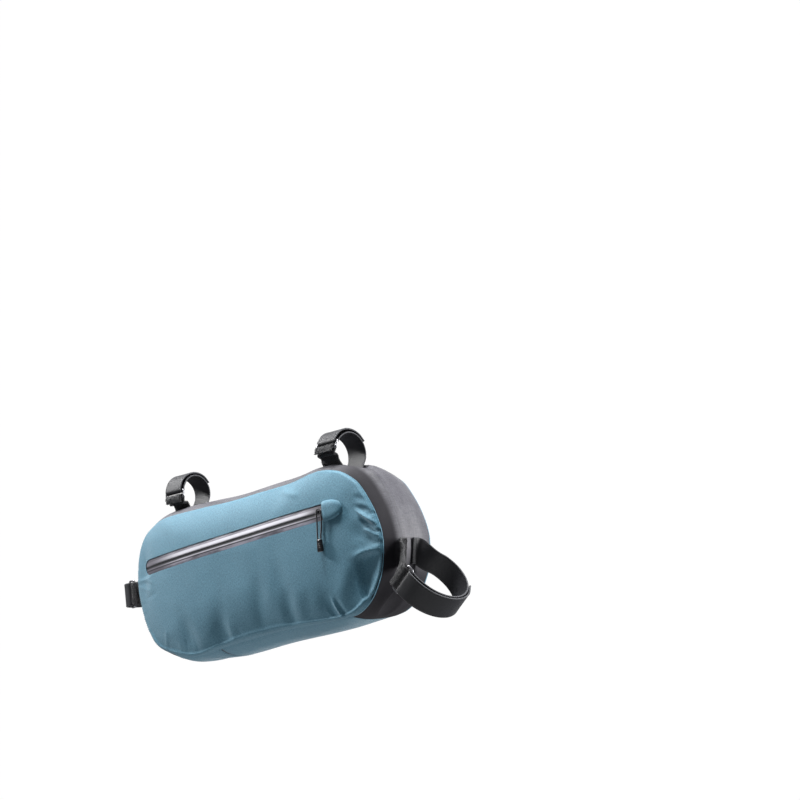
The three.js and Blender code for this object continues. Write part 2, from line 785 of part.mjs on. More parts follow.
// Flat wire ring that joins webbing and band
function strapRing() {
  const outerWide = strapWidth / 2 + ringRoom + ringWire;
  const outerTall = (ringSpan + ringWire) / 2;
  const corner = ringWire;
  const frameLine = (shape, wide, tall, round) => {
    shape.moveTo(-wide + round, -tall);
    shape.lineTo(wide - round, -tall);
    shape.lineTo(wide, -tall + round);
    shape.lineTo(wide, tall - round);
    shape.lineTo(wide - round, tall);
    shape.lineTo(-wide + round, tall);
    shape.lineTo(-wide, tall - round);
    shape.lineTo(-wide, -tall + round);
    shape.closePath();
    return shape;
  };
  const shape = frameLine(new THREE.Shape(), outerWide, outerTall, corner);
  const [innerWide, innerTall] = [outerWide - ringWire, outerTall - ringWire];
  shape.holes.push(frameLine(new THREE.Path(), innerWide, innerTall, ringInnerCorner));
  const ring = new THREE.ExtrudeGeometry(shape, {
    depth: ringWire - 2 * ringChamfer,
    bevelEnabled: true,
    bevelThickness: ringChamfer,
    bevelSize: ringChamfer,
    bevelOffset: -ringChamfer,
    bevelSegments: 1,
  });
  ring.translate(0, 0, ringChamfer - ringWire / 2);
  return ring;
}

// Assembly
function named(name, geometry, finish) {
  const mesh = new THREE.Mesh(geometry, new THREE.MeshStandardMaterial(finishes[finish]));
  mesh.name = name;
  return mesh;
}

const bag = new THREE.Group();
bag.rotation.y = -toRadians(tubeSlope);

bag.add(named('side_panel_near', cutFrom(sidePanel(-1, 46, 12), zipSlot()), 'panelCloth'));
bag.add(named('side_panel_far', sidePanel(1, 30, 8), 'panelCloth'));
const gussetWall = bandWall(0, rearJoint - jointGap, 52, 10);
bag.add(named('gusset', gussetWall, 'gussetCloth'));
bag.add(named('bottom_panel', bandWall(rearJoint, 1 - jointGap, 16, 8), 'panelCloth'));

bag.add(named('zip_film_upper', zipFilm(1), 'zipFilm'));
bag.add(named('zip_film_lower', zipFilm(-1), 'zipFilm'));
bag.add(named('zip_coil', zipCoil(), 'zipCoil'));
bag.add(named('zip_garage', zipGarage(), 'panelCloth'));

const slider = named('zip_slider', zipSlider(), 'blackPlastic');
slider.position.copy(onPanel(sliderFromFront, 0, filmBead + 4 * seamGap - filmRecess));
slider.rotation.y = -zipTurn;
bag.add(slider);

bag.add(named('zip_pull_cord', pullCord(), 'blackCord'));
const endPiece = named('zip_pull_end', pullEnd(), 'blackPlastic');
endPiece.position.copy(pullEndTop);
endPiece.position.z -= seamGap;
bag.add(endPiece);

// A strap's foot is raised off the gusset in small steps until the whole strap is clear of it
const gussetBody = toManifold(gussetWall);

function clearOfGusset(build) {
  let lift = footGap;
  let shape = build(lift);
  while (lift < footMost && toManifold(shape).minGap(gussetBody, 1) < footClear) {
    lift += footStep;
    shape = build(lift);
  }
  return shape;
}

for (const row of strapRows) {
  const frame = strapFrame(row);
  const webbing = clearOfGusset((lift) => strapWebbing(frame, lift));
  const band = clearOfGusset((lift) => strapBand(frame, lift));
  bag.add(named(`strap_${row.name}_webbing`, webbing, 'strapPile'));
  bag.add(named(`strap_${row.name}_band`, band, 'strapFace'));
  const ring = named(`strap_${row.name}_ring`, strapRing(), 'ringMetal');
  const low = frame.at(row.ring, bandTurn, -ringSpan);
  const high = frame.at(row.ring, bandTurn, 0);
  const tall = high.clone().sub(low).normalize();
  const face = frame.tube.axis.clone().cross(tall);
  ring.position.copy(low).lerp(high, 0.5);
  ring.quaternion.setFromRotationMatrix(new THREE.Matrix4().makeBasis(frame.tube.axis, tall, face));
  bag.add(ring);
}

const frameBag = new THREE.Group();
frameBag.add(bag);
export default frameBag;
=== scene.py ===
# %% [markdown]
# # A soft frame bag
#
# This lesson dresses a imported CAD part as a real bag: a long pouch of coated cloth with a
# grey gusset, a covered zip and four hook-and-loop straps. The CAD part is loaded first as a
# fixed frame, and every visible piece is built round it in metres, in the same place.
#
# The bag was drawn in a tilted frame of its own, in millimetres, because it hangs at a slope.
# One small function turns that frame into the scene's, so all the sizes below are those of
# the real bag, as far as a photograph gives them.

# %% Load the frame
import math

import bmesh
import bpy
import numpy as np
from mathutils import Matrix, Vector


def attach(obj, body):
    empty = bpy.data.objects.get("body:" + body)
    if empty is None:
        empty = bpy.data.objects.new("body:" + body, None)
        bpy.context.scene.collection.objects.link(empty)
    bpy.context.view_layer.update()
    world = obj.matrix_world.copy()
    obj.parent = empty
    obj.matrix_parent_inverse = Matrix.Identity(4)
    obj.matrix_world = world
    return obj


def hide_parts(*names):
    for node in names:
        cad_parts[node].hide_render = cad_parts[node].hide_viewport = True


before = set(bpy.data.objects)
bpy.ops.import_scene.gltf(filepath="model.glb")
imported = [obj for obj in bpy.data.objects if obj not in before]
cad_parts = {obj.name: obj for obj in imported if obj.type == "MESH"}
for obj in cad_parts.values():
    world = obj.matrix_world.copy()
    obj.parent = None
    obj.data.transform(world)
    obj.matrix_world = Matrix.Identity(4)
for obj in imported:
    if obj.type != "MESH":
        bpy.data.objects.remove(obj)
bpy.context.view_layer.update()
print("CAD nodes:", len(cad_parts))

# %% [markdown]
# ## Camera
#
# The photograph was taken from the right and in front of the bag with a long lens. The lens,
# the place and the direction were solved from the photograph, and no lens shift is needed.

# %% Camera
camera_data = bpy.data.cameras.new("camera")
camera_data.lens = 82.95
camera_data.sensor_width = 36
camera_data.clip_end = 60
camera = bpy.data.objects.new("camera", camera_data)
bpy.context.scene.collection.objects.link(camera)
right = Vector((0.71492, 0.69536, 0.07323))
up = Vector((-0.05929, -0.04406, 0.99727))
back = right.cross(up).normalized()
camera.matrix_world = Matrix.Translation((1.40774, -1.25905, 0.10421)) @ Matrix(
    (right, up, back)
).transposed().to_4x4()
bpy.context.scene.camera = camera
print("camera looks along", [round(-v, 3) for v in back])

# %% [markdown]
# ## Helpers for shapes
#
# Cloth is made here as a grid of points with a wall behind it. A grid keeps its own UV map in
# millimetres, so that every weave and every stitch can be given at its true size.

# %% From the bag's tilted frame to the scene
SLOPE = math.radians(14.85)


def place(points):
    """Points in the bag's tilted frame, in mm, as points of the scene, in metres."""
    p = np.asarray(points, float)
    x = p[..., 0] * math.cos(SLOPE) - p[..., 2] * math.sin(SLOPE)
    z = p[..., 0] * math.sin(SLOPE) + p[..., 2] * math.cos(SLOPE)
    return np.stack([x, p[..., 1], z], -1) / 1000


def unit(v):
    """The same directions with length 1."""
    return v / np.maximum(np.linalg.norm(v, axis=-1, keepdims=True), 1e-9)


# %% A mesh object from points, faces and UVs
SHARP_EDGE = math.radians(40)


def finish_mesh(name, points, faces, uvs=None):
    """Makes a smooth mesh; uvs holds one (u, v) for each point, in mm."""
    mesh = bpy.data.meshes.new(name)
    mesh.from_pydata([tuple(p) for p in points], [], [tuple(f) for f in faces])
    if uvs is not None:
        layer = mesh.uv_layers.new(name="cloth")
        corner = np.empty(len(mesh.loops), int)
        mesh.loops.foreach_get("vertex_index", corner)
        layer.data.foreach_set("uv", np.asarray(uvs, float)[corner].ravel())
    mesh.shade_smooth()
    mesh.set_sharp_from_angle(angle=SHARP_EDGE)
    piece = bpy.data.objects.new(name, mesh)
    bpy.context.scene.collection.objects.link(piece)
    return piece


def normals_out(piece):
    """Turns every face outwards, for a closed shape."""
    work = bmesh.new()
    work.from_mesh(piece.data)
    bmesh.ops.recalc_face_normals(work, faces=work.faces)
    work.to_mesh(piece.data)
    work.free()
    piece.data.set_sharp_from_angle(angle=SHARP_EDGE)
    return piece


# %% A wall of cloth between an outer and an inner grid
def merge_doubles(piece, distance=1e-6):
    """Joins points that fall together, so that a pinched end has no empty faces."""
    work = bmesh.new()
    work.from_mesh(piece.data)
    bmesh.ops.remove_doubles(work, verts=work.verts, dist=distance)
    bmesh.ops.dissolve_degenerate(work, edges=work.edges, dist=1e-7)
    work.to_mesh(piece.data)
    work.free()


def wall(name, outer, inner, uv):
    """outer, inner: (rows, columns, 3) points in the bag's frame, joined round their edges."""
    rows, columns = outer.shape[:2]
    number = np.arange(rows * columns).reshape(rows, columns)
    far = number + rows * columns
    faces = []
    for i in range(rows - 1):
        for j in range(columns - 1):
            faces.append((number[i, j], number[i + 1, j], number[i + 1, j + 1], number[i, j + 1]))
            faces.append((far[i, j + 1], far[i + 1, j + 1], far[i + 1, j], far[i, j]))
    for i in range(rows - 1):
        faces.append((number[i, 0], far[i, 0], far[i + 1, 0], number[i + 1, 0]))
        faces.append((number[i, -1], number[i + 1, -1], far[i + 1, -1], far[i, -1]))
    for j in range(columns - 1):
        faces.append((number[0, j], number[0, j + 1], far[0, j + 1], far[0, j]))
        faces.append((number[-1, j + 1], number[-1, j], far[-1, j], far[-1, j + 1]))
    points = place(np.concatenate([outer.reshape(-1, 3), inner.reshape(-1, 3)]))
    uvs = np.concatenate([uv.reshape(-1, 2), uv.reshape(-1, 2)])
    piece = finish_mesh(name, points, faces, uvs)
    merge_doubles(piece)
    return normals_out(piece)


# %% A smooth line through points
def smooth_line(points, shares, closed=False, centripetal=False):
    """Points of a Catmull-Rom line at the given shares of its length in control points."""
    p = np.asarray(points, float)
    count = len(p)
    shares = np.asarray(shares, float)
    where = (shares % 1.0) * count if closed else np.clip(shares, 0, 1) * (count - 1)
    first = np.floor(where).astype(int)
    if not closed:
        first = np.minimum(first, count - 2)
    t = (where - first)[:, None]
    if closed:
        q = [p[(first + k) % count] for k in (-1, 0, 1, 2)]
    else:
        padded = np.vstack([2 * p[0] - p[1], p, 2 * p[-1] - p[-2]])
        q = [padded[first + k] for k in (0, 1, 2, 3)]
    if centripetal:
        gaps = [np.linalg.norm(q[k + 1] - q[k], axis=1, keepdims=True) for k in range(3)]
        d = [np.maximum(gap**0.5, 1e-4) for gap in gaps]
        m1 = ((q[1] - q[0]) / d[0] - (q[2] - q[0]) / (d[0] + d[1]) + (q[2] - q[1]) / d[1]) * d[1]
        m2 = ((q[2] - q[1]) / d[1] - (q[3] - q[1]) / (d[1] + d[2]) + (q[3] - q[2]) / d[2]) * d[1]
    else:
        m1 = 0.5 * (q[2] - q[0])
        m2 = 0.5 * (q[3] - q[1])
    c2 = -3 * q[1] + 3 * q[2] - 2 * m1 - m2
    c3 = 2 * q[1] - 2 * q[2] + m1 + m2
    return q[1] + m1 * t + c2 * t**2 + c3 * t**3


def ramp(value, low, high):
    """A smooth step from 0 at low to 1 at high."""
    t = np.clip((np.asarray(value, float) - low) / (high - low), 0, 1)
    return t * t * (3 - 2 * t)


# %% [markdown]
# ## Helpers for finishes
#
# A finish here is a small sum written in Python. `Wire` wraps one shader socket, so that
# `0.3 + 0.7 * weave` adds the Math nodes by itself. Anything else, such as a noise or a
# colour mix, is added with `node`.

# %% A shader socket that can be calculated with
class Wire:
    """A socket of a shader or geometry tree; a sum with it adds the nodes that work it out."""

    def __init__(self, tree, socket):
        self.tree = tree
        self.socket = socket

    def calculate(self, operation, *values):
        return node(self.tree, "ShaderNodeMath", {"operation": operation}, dict(enumerate(values)))

    def __add__(self, other):
        return self.calculate("ADD", self, other)

    def __sub__(self, other):
        return self.calculate("SUBTRACT", self, other)

    def __rsub__(self, other):
        return self.calculate("SUBTRACT", other, self)

    def __mul__(self, other):
        return self.calculate("MULTIPLY", self, other)

    __radd__ = __add__
    __rmul__ = __mul__

    def sine(self):
        return self.calculate("SINE", self)

    def size(self):
        return self.calculate("ABSOLUTE", self)

    def clipped(self, low, high):
        """0 below low, 1 above high, smooth between."""
        settings = {"interpolation_type": "SMOOTHSTEP"}
        span = {"Value": self, "From Min": low, "From Max": high}
        return node(self.tree, "ShaderNodeMapRange", settings, span)


def node(tree, kind, settings=None, values=None, output=0):
    """Adds any node: its settings first, then the values or links of its sockets."""
    new = tree.nodes.new(kind)
    for key, value in (settings or {}).items():
        setattr(new, key, value)
    for key, value in (values or {}).items():
        if isinstance(value, Wire):
            tree.links.new(value.socket, new.inputs[key])
        elif isinstance(value, (tuple, list)) and new.inputs[key].type == "RGBA":
            new.inputs[key].default_value = (*value[:3], 1)
        else:
            new.inputs[key].default_value = value
    return Wire(tree, new.outputs[output])


# %% A finish with its own shader, and the coordinates it reads
class Finish:
    """A material whose shader is set by name; u and v are the piece's own UV in mm."""

    def __init__(self, name, **fixed):
        self.material = bpy.data.materials.new(name)
        self.material.use_nodes = True
        self.tree = self.material.node_tree
        self.shader = self.tree.nodes["Principled BSDF"]
        for key, value in fixed.items():
            socket = self.shader.inputs[key.replace("_", " ")]
            socket.default_value = (*value, 1) if isinstance(value, tuple) else value
        self.flat = self.node("ShaderNodeUVMap", {"uv_map": "cloth"})
        self.object = self.node("ShaderNodeTexCoord", output=3)
        parts = self.tree.nodes.new("ShaderNodeSeparateXYZ")
        self.tree.links.new(self.flat.socket, parts.inputs[0])
        self.u = Wire(self.tree, parts.outputs[0])
        self.v = Wire(self.tree, parts.outputs[1])

    def node(self, kind, settings=None, values=None, output=0):
        return node(self.tree, kind, settings, values, output)

    def wave(self, along, pitch):
        """From -1 to 1 and back once in each pitch, in mm."""
        return (along * (2 * math.pi / pitch)).sine()

    def noise(self, stretch, detail=2.0, rough=0.5, where=None):
        """Noise whose grain is 1 / stretch of the coordinates' own unit."""
        spot = self.node(
            "ShaderNodeVectorMath",
            {"operation": "MULTIPLY"},
            {0: where or self.flat, 1: tuple(stretch)},
        )
        return self.node(
            "ShaderNodeTexNoise",
            values={"Vector": spot, "Scale": 1.0, "Detail": detail, "Roughness": rough},
        )

    def mix(self, factor, first, second):
        """A colour between two colours."""
        return self.node(
            "ShaderNodeMix",
            {"data_type": "RGBA"},
            {"Factor": factor, 6: first, 7: second},
            output=2,
        )

    def feed(self, socket, value):
        self.tree.links.new(value.socket, self.shader.inputs[socket])

    def bump(self, height, distance):
        """Raises the surface by height (0 to 1) times distance, in metres."""
        lift = self.node(
            "ShaderNodeBump", values={"Height": height, "Distance": distance, "Strength": 1.0}
        )
        self.feed("Normal", lift)


FINISHES = {}


def wear(piece, finish, *nodes, slot, body="root"):
    """Gives a piece its finish, its body and the CAD nodes it stands for; slot is not used."""
    piece.data.materials.clear()
    piece.data.materials.append(FINISHES[finish].material)
    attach(piece, body)
    if nodes:
        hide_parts(*nodes)
    return piece


# %% [markdown]
# ## Side panel cloth
#
# The panels are a coated polyester with a heathered yarn: blue threads of slightly different
# tone that run both ways, so that close up the cloth looks flecked and from afar it is an
# even grey blue. Two stretched noises make the threads, and a fine plain weave is raised by
# a bump. Broad, faint patches keep the large surface from looking printed.

# %% Panel cloth finish
def panel_cloth(name, line=None):
    """line: where a seam crosses the cloth, in mm along u, if one does."""
    cloth = Finish(name, Specular_IOR_Level=0.22, Sheen_Weight=0.28, Sheen_Roughness=0.4)
    warp = cloth.noise((1.5, 0.42, 1), 2.0, 0.6)
    weft = cloth.noise((0.42, 1.5, 1), 2.0, 0.6)
    fleck = (warp + weft) * 0.5
    patch = cloth.noise((0.02, 0.03, 1), 3.0)
    tone = (fleck - 0.5) * 2.3 + 0.5 + (patch - 0.5) * 0.4
    colour = cloth.mix(tone.clipped(-0.1, 1.1), (0.034, 0.112, 0.166), (0.104, 0.244, 0.325))
    if line is not None:
        colour = cloth.mix((cloth.u - line).size().clipped(0.8, 1.8), (0.012, 0.035, 0.055), colour)
    cloth.feed("Base Color", colour)
    threads = cloth.wave(cloth.u, 0.9) * cloth.wave(cloth.v, 0.9)
    cloth.feed("Roughness", 0.6 + (fleck - 0.5) * 0.25)
    cloth.bump(threads * 0.3 + fleck * 1.2, 0.00014)
    return cloth


FINISHES["panel"] = panel_cloth("panel_cloth")
print("finishes:", list(FINISHES))

# %% [markdown]
# ## The seam outline
#
# A flat panel meets the gusset all round along one curved seam. The outline is a smooth line
# through thirty points, given as shares of half the length and half the height. The third
# column says how far the gusset swells out beside that point.

# %% Sizes of the pouch
# In mm. DROP is how far the outline's middle lies below the frame's origin, WALL is the cloth as
# drawn here and CLOTH is the thicker cloth of the CAD part.
HALF_LENGTH = 371 / 2
HALF_HEIGHT = 144 / 2
HALF_SEAM = 57 / 2
DROP = 94
SWELL = 13
GUSSET_SWELL = 9
WALL = 1.2
SEAM_GAP = 0.3
CLOTH = 1.6
FAR_SPREAD = 8

# x, z, swell
OUTLINE = np.array([
    (0.722, -0.928, 0.35), (0.808, -0.865, 0.35), (0.882, -0.732, 0.35), (0.936, -0.551, 0.4),
    (0.977, -0.342, 0.5), (0.999, 0.035, 0.7), (0.962, 0.397, 0.8), (0.886, 0.739, 0.8),
    (0.827, 0.886, 0.85), (0.744, 1.006, 0.9), (0.633, 1.072, 0.95), (0.519, 1.069, 0.95),
    (0.357, 1.011, 1), (0.115, 0.989, 0.9), (-0.135, 0.968, 0.9), (-0.391, 0.974, 0.9),
    (-0.7, 0.961, 1), (-0.824, 0.872, 0.8), (-0.913, 0.722, 0.6), (-0.974, 0.444, 0.4),
    (-1, 0.03, 0.3), (-0.971, -0.418, 0.3), (-0.922, -0.7, 0.3), (-0.843, -0.914, 0.5),
    (-0.647, -1.085, 0.7), (-0.505, -1.12, 0.45), (-0.328, -1.064, 0.9), (0.006, -0.994, 1),
    (0.326, -0.954, 0.95), (0.56, -0.95, 0.7),
])
REAR_JOINT = 23.6 / len(OUTLINE)
CROSS_SEAM = 26 / len(OUTLINE)
OUTLINE_MM = OUTLINE * (HALF_LENGTH, HALF_HEIGHT, GUSSET_SWELL)


def outline(shares):
    """x, z (from the outline's middle) and swell at shares of the way round the seam."""
    return smooth_line(OUTLINE_MM, shares, closed=True)


SEAM_SHARES = np.linspace(0, 1, 1441)
SEAM = outline(SEAM_SHARES)
seam_angle = np.arctan2(SEAM[:-1, 1], SEAM[:-1, 0])
seam_order = np.argsort(seam_angle)
SEAM_ANGLE = seam_angle[seam_order]
SEAM_REACH = np.hypot(SEAM[:-1, 0], SEAM[:-1, 1])[seam_order]
SEAM_STEPS = np.hypot(*np.diff(SEAM[:, :2], axis=0).T)
SEAM_RUN = np.concatenate([[0], np.cumsum(SEAM_STEPS)])
print("seam length", round(SEAM_RUN[-1]), "mm")

# %% [markdown]
# ## Side panels
#
# A filled pouch pulls its panels into a long shallow crown, and the cloth keeps soft folds
# where it is pulled at the seams. Each fold is one row of a table: a place, a length, a width,
# a direction and a rise. Sharper creases and one steep dent have tables of their own. Short
# puckers round the seam come from the sewing: they are a sum of sines that runs round the
# seam and is stronger in some places than in others.

# %% Folds of the panels
# x, z, length, width as shares of the pouch, angle, rise as a share of SWELL, on near, on far
FOLDS = [
    (0.86, -0.45, 0.34, 0.08, 66, -0.34, 1, 1),
    (0.74, -0.5, 0.36, 0.05, 60, 0.1, 1, 0),
    (0.9, 0.12, 0.2, 0.05, -24, -0.24, 1, 0),
    (0.9, 0.42, 0.2, 0.05, -34, -0.2, 1, 0),
    (0.62, -0.78, 0.24, 0.05, 118, -0.2, 1, 1),
    (0.3, -0.62, 0.5, 0.06, 98, -0.15, 1, 0),
    (0.1, -0.66, 0.44, 0.06, 82, -0.14, 1, 1),
    (-0.25, -0.84, 0.34, 0.06, 76, -0.2, 1, 1),
    (-0.52, -0.86, 0.3, 0.06, 104, -0.16, 1, 1),
    (-0.9, 0.2, 0.4, 0.05, 82, -0.16, 1, 0),
]


# Sharp creases of the near panel: from x, z to x, z in mm, half width, rise
CREASES = [
    (160, 31, 186, 13, 1.9, 2.5), (163, 22, 185, 6, 2.8, -2.0), (166, 13, 187, 2, 2.1, 1.6),
    (168, 4, 187, -5, 3.0, -1.0), (159, 38, 181, 32, 2.6, 0.7), (161, 35, 182, 25, 2.2, -0.7),
    (158, 50, 174, 44, 2.8, 0.5), (157, 45, 176, 38, 2.4, -0.4), (150, -12, 186, -8, 4.0, 1.2),
    (117, -46, 125, -68, 1.6, 1.0), (122, -46, 130, -66, 3.0, -0.7), (106, -55, 114, -68, 1.9, 0.3),
    (110, -56, 118, -67, 2.4, -0.3), (53, -24, 44, -64, 6.5, 0.3), (65, -26, 56, -64, 6.0, -0.25),
    (79, -30, 69, -62, 6.5, 0.25), (92, -34, 82, -62, 6.0, -0.2), (24, -34, 20, -64, 6.0, 0.2),
    (-33, -50, -32, -77, 2.6, 0.25), (-25, -56, -13, -76, 2.8, -0.2), (-40, -58, -42, -78, 2.6, -0.2),
    (-94, -56, -96, -77, 2.8, 0.2), (-104, -58, -108, -77, 3.0, -0.2), (-116, -60, -119, -74, 2.8, 0.15),
    (-134, -48, -142, -66, 3.0, 0.3), (-172, 10, -150, 4, 1.8, 0.25), (-182, 8, -152, 10, 1.8, 0.2),
    (-178, 1, -158, -4, 1.8, 0.2), (-168, -12, -146, -8, 2.0, -0.2), (60, 66, 84, 58, 3.0, 0.5),
]

CREASE_STRENGTH = 1.5

# Dents of the near panel with a steep rim: x, z in mm, half length, half height, depth
DENTS = [(174, -35, 23, 27, 4.4)]
DENT_RIM = (0.76, 1.02)


def crease_height(x, z):
    """Rise of the creases and dents at x, z from the outline's middle, in mm."""
    height = np.zeros_like(x)
    for x0, z0, x1, z1, wide, rise in CREASES:
        long = math.hypot(x1 - x0, z1 - z0)
        ax, az = (x1 - x0) / long, (z1 - z0) / long
        along = (x - x0) * ax + (z - z0) * az
        across = (z - z0) * ax - (x - x0) * az
        taper = ramp(along, -0.15 * long, 0.35 * long) * (1 - ramp(along, 0.85 * long, 1.25 * long))
        height += CREASE_STRENGTH * rise * taper * np.exp(-((across / wide) ** 2))
    for dx, dz, long, tall, depth in DENTS:
        size = (np.abs((x - dx) / long) ** 3 + np.abs((z - dz) / tall) ** 3) ** (1 / 3)
        height -= depth * (1 - ramp(size, *DENT_RIM))
    return height


def fold_height(x, z, near):
    """Rise of the broad folds of the near or the far panel, in mm."""
    height = np.zeros_like(x)
    for fx, fz, long, wide, angle, rise, on_near, on_far in FOLDS:
        if not (on_near if near else on_far):
            continue
        turn = math.radians(angle)
        dx = x - fx * HALF_LENGTH
        dz = z - fz * HALF_HEIGHT
        along = (dx * math.cos(turn) + dz * math.sin(turn)) / (long * HALF_HEIGHT)
        across = (-dx * math.sin(turn) + dz * math.cos(turn)) / (wide * HALF_LENGTH)
        height += rise * SWELL * np.exp(-(along**2) - across**2)
    return height


# %% How far a panel stands out
PUCKER = 0.2
SEAM_ROLL = 1.3
SEAM_DIP = 2.2
RIPPLE = 0.22


def far_out(x):
    """The pouch is deeper at its front, where its far side stands further out."""
    return FAR_SPREAD * ramp(x, 0.1 * HALF_LENGTH, 0.8 * HALF_LENGTH)


def seam_share(x, z):
    """0 in the middle of the panel, 1 on the seam; and the seam's distance from the middle."""
    angle = np.arctan2(z, x)
    reach = np.interp(angle, SEAM_ANGLE, SEAM_REACH, period=2 * math.pi)
    return np.minimum(1, np.hypot(x, z) / reach), reach


def panel_out(x, z, near=True, fine=True):
    """Distance of a panel's outer face from the middle plane, at x, z in the bag's frame.

    fine adds the small relief, which the zip's pieces don't follow."""
    x = np.asarray(x, float)
    rise = np.asarray(z, float) + DROP
    share, reach = seam_share(x, rise)
    out = HALF_SEAM + SEAM_GAP + CLOTH + SWELL * (1 - share**3.4)
    if not near:
        out = out + far_out(x)
    out = out + fold_height(x, rise, near) * (1 - share**8)
    if fine:
        inset = (1 - share) * reach
        round_seam = np.arctan2(rise / HALF_HEIGHT, x / HALF_LENGTH) * 150
        pucker = np.sin(round_seam / 3.1) + 0.7 * np.sin(round_seam / 1.9 + 1.3)
        strength = 0.5 + 0.5 * np.sin(round_seam / 23 + (0.4 if near else 2.0))
        front = 1 + 1.2 * ramp(x, 120, 175)
        edge = np.exp(-inset / 6) * (1 - np.exp(-inset / 1.0))
        out = out + PUCKER * front * pucker * strength * edge
        if near:
            out = out + crease_height(x, rise) * (1 - share**26)
        out = out + SEAM_ROLL * np.exp(-(((inset - 5) / 2.6) ** 2)) * (1 - ramp(rise, -60, -35))
        out = out - SEAM_DIP * np.exp(-((inset / 1.9) ** 2))
        ripple = np.sin(x / 9.5 + 0.04 * rise) * np.sin(rise / 17 + 0.03 * x + 0.7)
        out = out + RIPPLE * ripple * (1 - share**6)
    return out


# %% A panel's grid of points
def seam_heights(x):
    """The seam's lowest and highest z at each x, from the outline's middle."""
    low = np.empty_like(x)
    high = np.empty_like(x)
    a, b = SEAM[:-1], SEAM[1:]
    for k, value in enumerate(x):
        cut = (a[:, 0] - value) * (b[:, 0] - value) <= 0
        cut &= np.abs(b[:, 0] - a[:, 0]) > 1e-9
        part = (value - a[cut, 0]) / (b[cut, 0] - a[cut, 0])
        z = a[cut, 1] + part * (b[cut, 1] - a[cut, 1])
        low[k] = z.min()
        high[k] = z.max()
    return low, high


def side_panel(name, sign, along, across):
    """sign: -1 for the near panel, 1 for the far one; along, across: cells of its grid."""
    first, last = SEAM[:, 0].min(), SEAM[:, 0].max()
    turn = np.linspace(0, math.pi, along + 1)
    x = (first + last) / 2 - (last - first) / 2 * np.cos(turn)
    x[0] += 1e-4
    x[-1] -= 1e-4
    low, high = seam_heights(x)
    share = (1 - np.cos(np.linspace(0, math.pi, across + 1))) / 2
    z = low[:, None] + (high - low)[:, None] * share - DROP
    x = np.repeat(x[:, None], across + 1, 1)
    out = panel_out(x, z, near=sign < 0)
    outer = np.stack([x, sign * out, z], -1)
    inner = outer - np.array([0, sign * WALL, 0])
    return wall(name, outer, inner, np.stack([x, z], -1))


far_panel = wear(side_panel("panel_far", 1, 200, 90), "panel", "side_panel_far", slot="panel_cloth")
near_panel = side_panel("panel_near", -1, 300, 140)
print("near panel faces", len(near_panel.data.polygons))

# %% [markdown]
# ## The zip slot
#
# The zip is welded behind a slot in the near panel. The slot has a square front end, hidden
# under the garage, and a round rear end. A boolean cut leaves a crisp cloth edge, which is
# how laser-cut cloth looks, and the cutter is thrown away afterwards.

# %% Places along the zip
ZIP_SLOPE = math.radians(3.2)
ZIP_LENGTH = 303
ZIP_HALF = 8
ZIP_FRONT = (138, -57)


def on_panel(from_front, above, lift):
    """Points on the near panel, from the zip's front end and its middle line."""
    from_front, above, lift = np.broadcast_arrays(
        np.asarray(from_front, float), np.asarray(above, float), np.asarray(lift, float)
    )
    x = ZIP_FRONT[0] - from_front * math.cos(ZIP_SLOPE) - above * math.sin(ZIP_SLOPE)
    z = ZIP_FRONT[1] - from_front * math.sin(ZIP_SLOPE) + above * math.cos(ZIP_SLOPE)
    return np.stack([x, -panel_out(x, z, fine=False) - lift, z], -1)


# %% Cut the slot
def slot_outline(half, end_steps=20):
    """Places along the zip and above its middle line: a square front end and a round rear one."""
    turn = np.linspace(math.pi / 2, 3 * math.pi / 2, end_steps)
    from_front = ZIP_LENGTH - ZIP_HALF - half * np.cos(turn)
    above = half * np.sin(turn)
    return np.concatenate([[0], from_front, [0]]), np.concatenate([[half], above, [-half]])


def cut_slot(piece):
    """Cuts the slot through a panel and leaves a plain mesh."""
    run, above = slot_outline(ZIP_HALF)
    x = ZIP_FRONT[0] - run * math.cos(ZIP_SLOPE) - above * math.sin(ZIP_SLOPE)
    z = ZIP_FRONT[1] - run * math.sin(ZIP_SLOPE) + above * math.cos(ZIP_SLOPE)
    count = len(x)
    points = [place((x[i], y, z[i])) for y in (-70, -20) for i in range(count)]
    faces = [tuple(range(count)), tuple(range(2 * count - 1, count - 1, -1))]
    faces += [(i, (i + 1) % count, (i + 1) % count + count, i + count) for i in range(count)]
    cutter = normals_out(finish_mesh("cutter", points, faces))
    cut = piece.modifiers.new("slot", "BOOLEAN")
    cut.operation = "DIFFERENCE"
    cut.solver = "EXACT"
    cut.object = cutter
    result = bpy.data.meshes.new_from_object(piece.evaluated_get(bpy.context.evaluated_depsgraph_get()))
    piece.modifiers.clear()
    piece.data = result
    bpy.data.objects.remove(cutter)
    result.shade_smooth()
    result.set_sharp_from_angle(angle=math.radians(35))
    return piece


cut_slot(near_panel)
wear(near_panel, "panel", "side_panel_near", slot="panel_cloth")
print("near panel after the cut:", len(near_panel.data.polygons), "faces")

# %% [markdown]
# ## Gusset and bottom
#
# One long band closes the pouch over the top and round both ends, and a blue panel closes
# the underside. The gusset is a smooth laminate, so it shows long soft highlights. Each strap
# closes round a core, a plain cylinder that is only reckoned with and never drawn, and the
# gusset is pressed in wherever a core comes close.

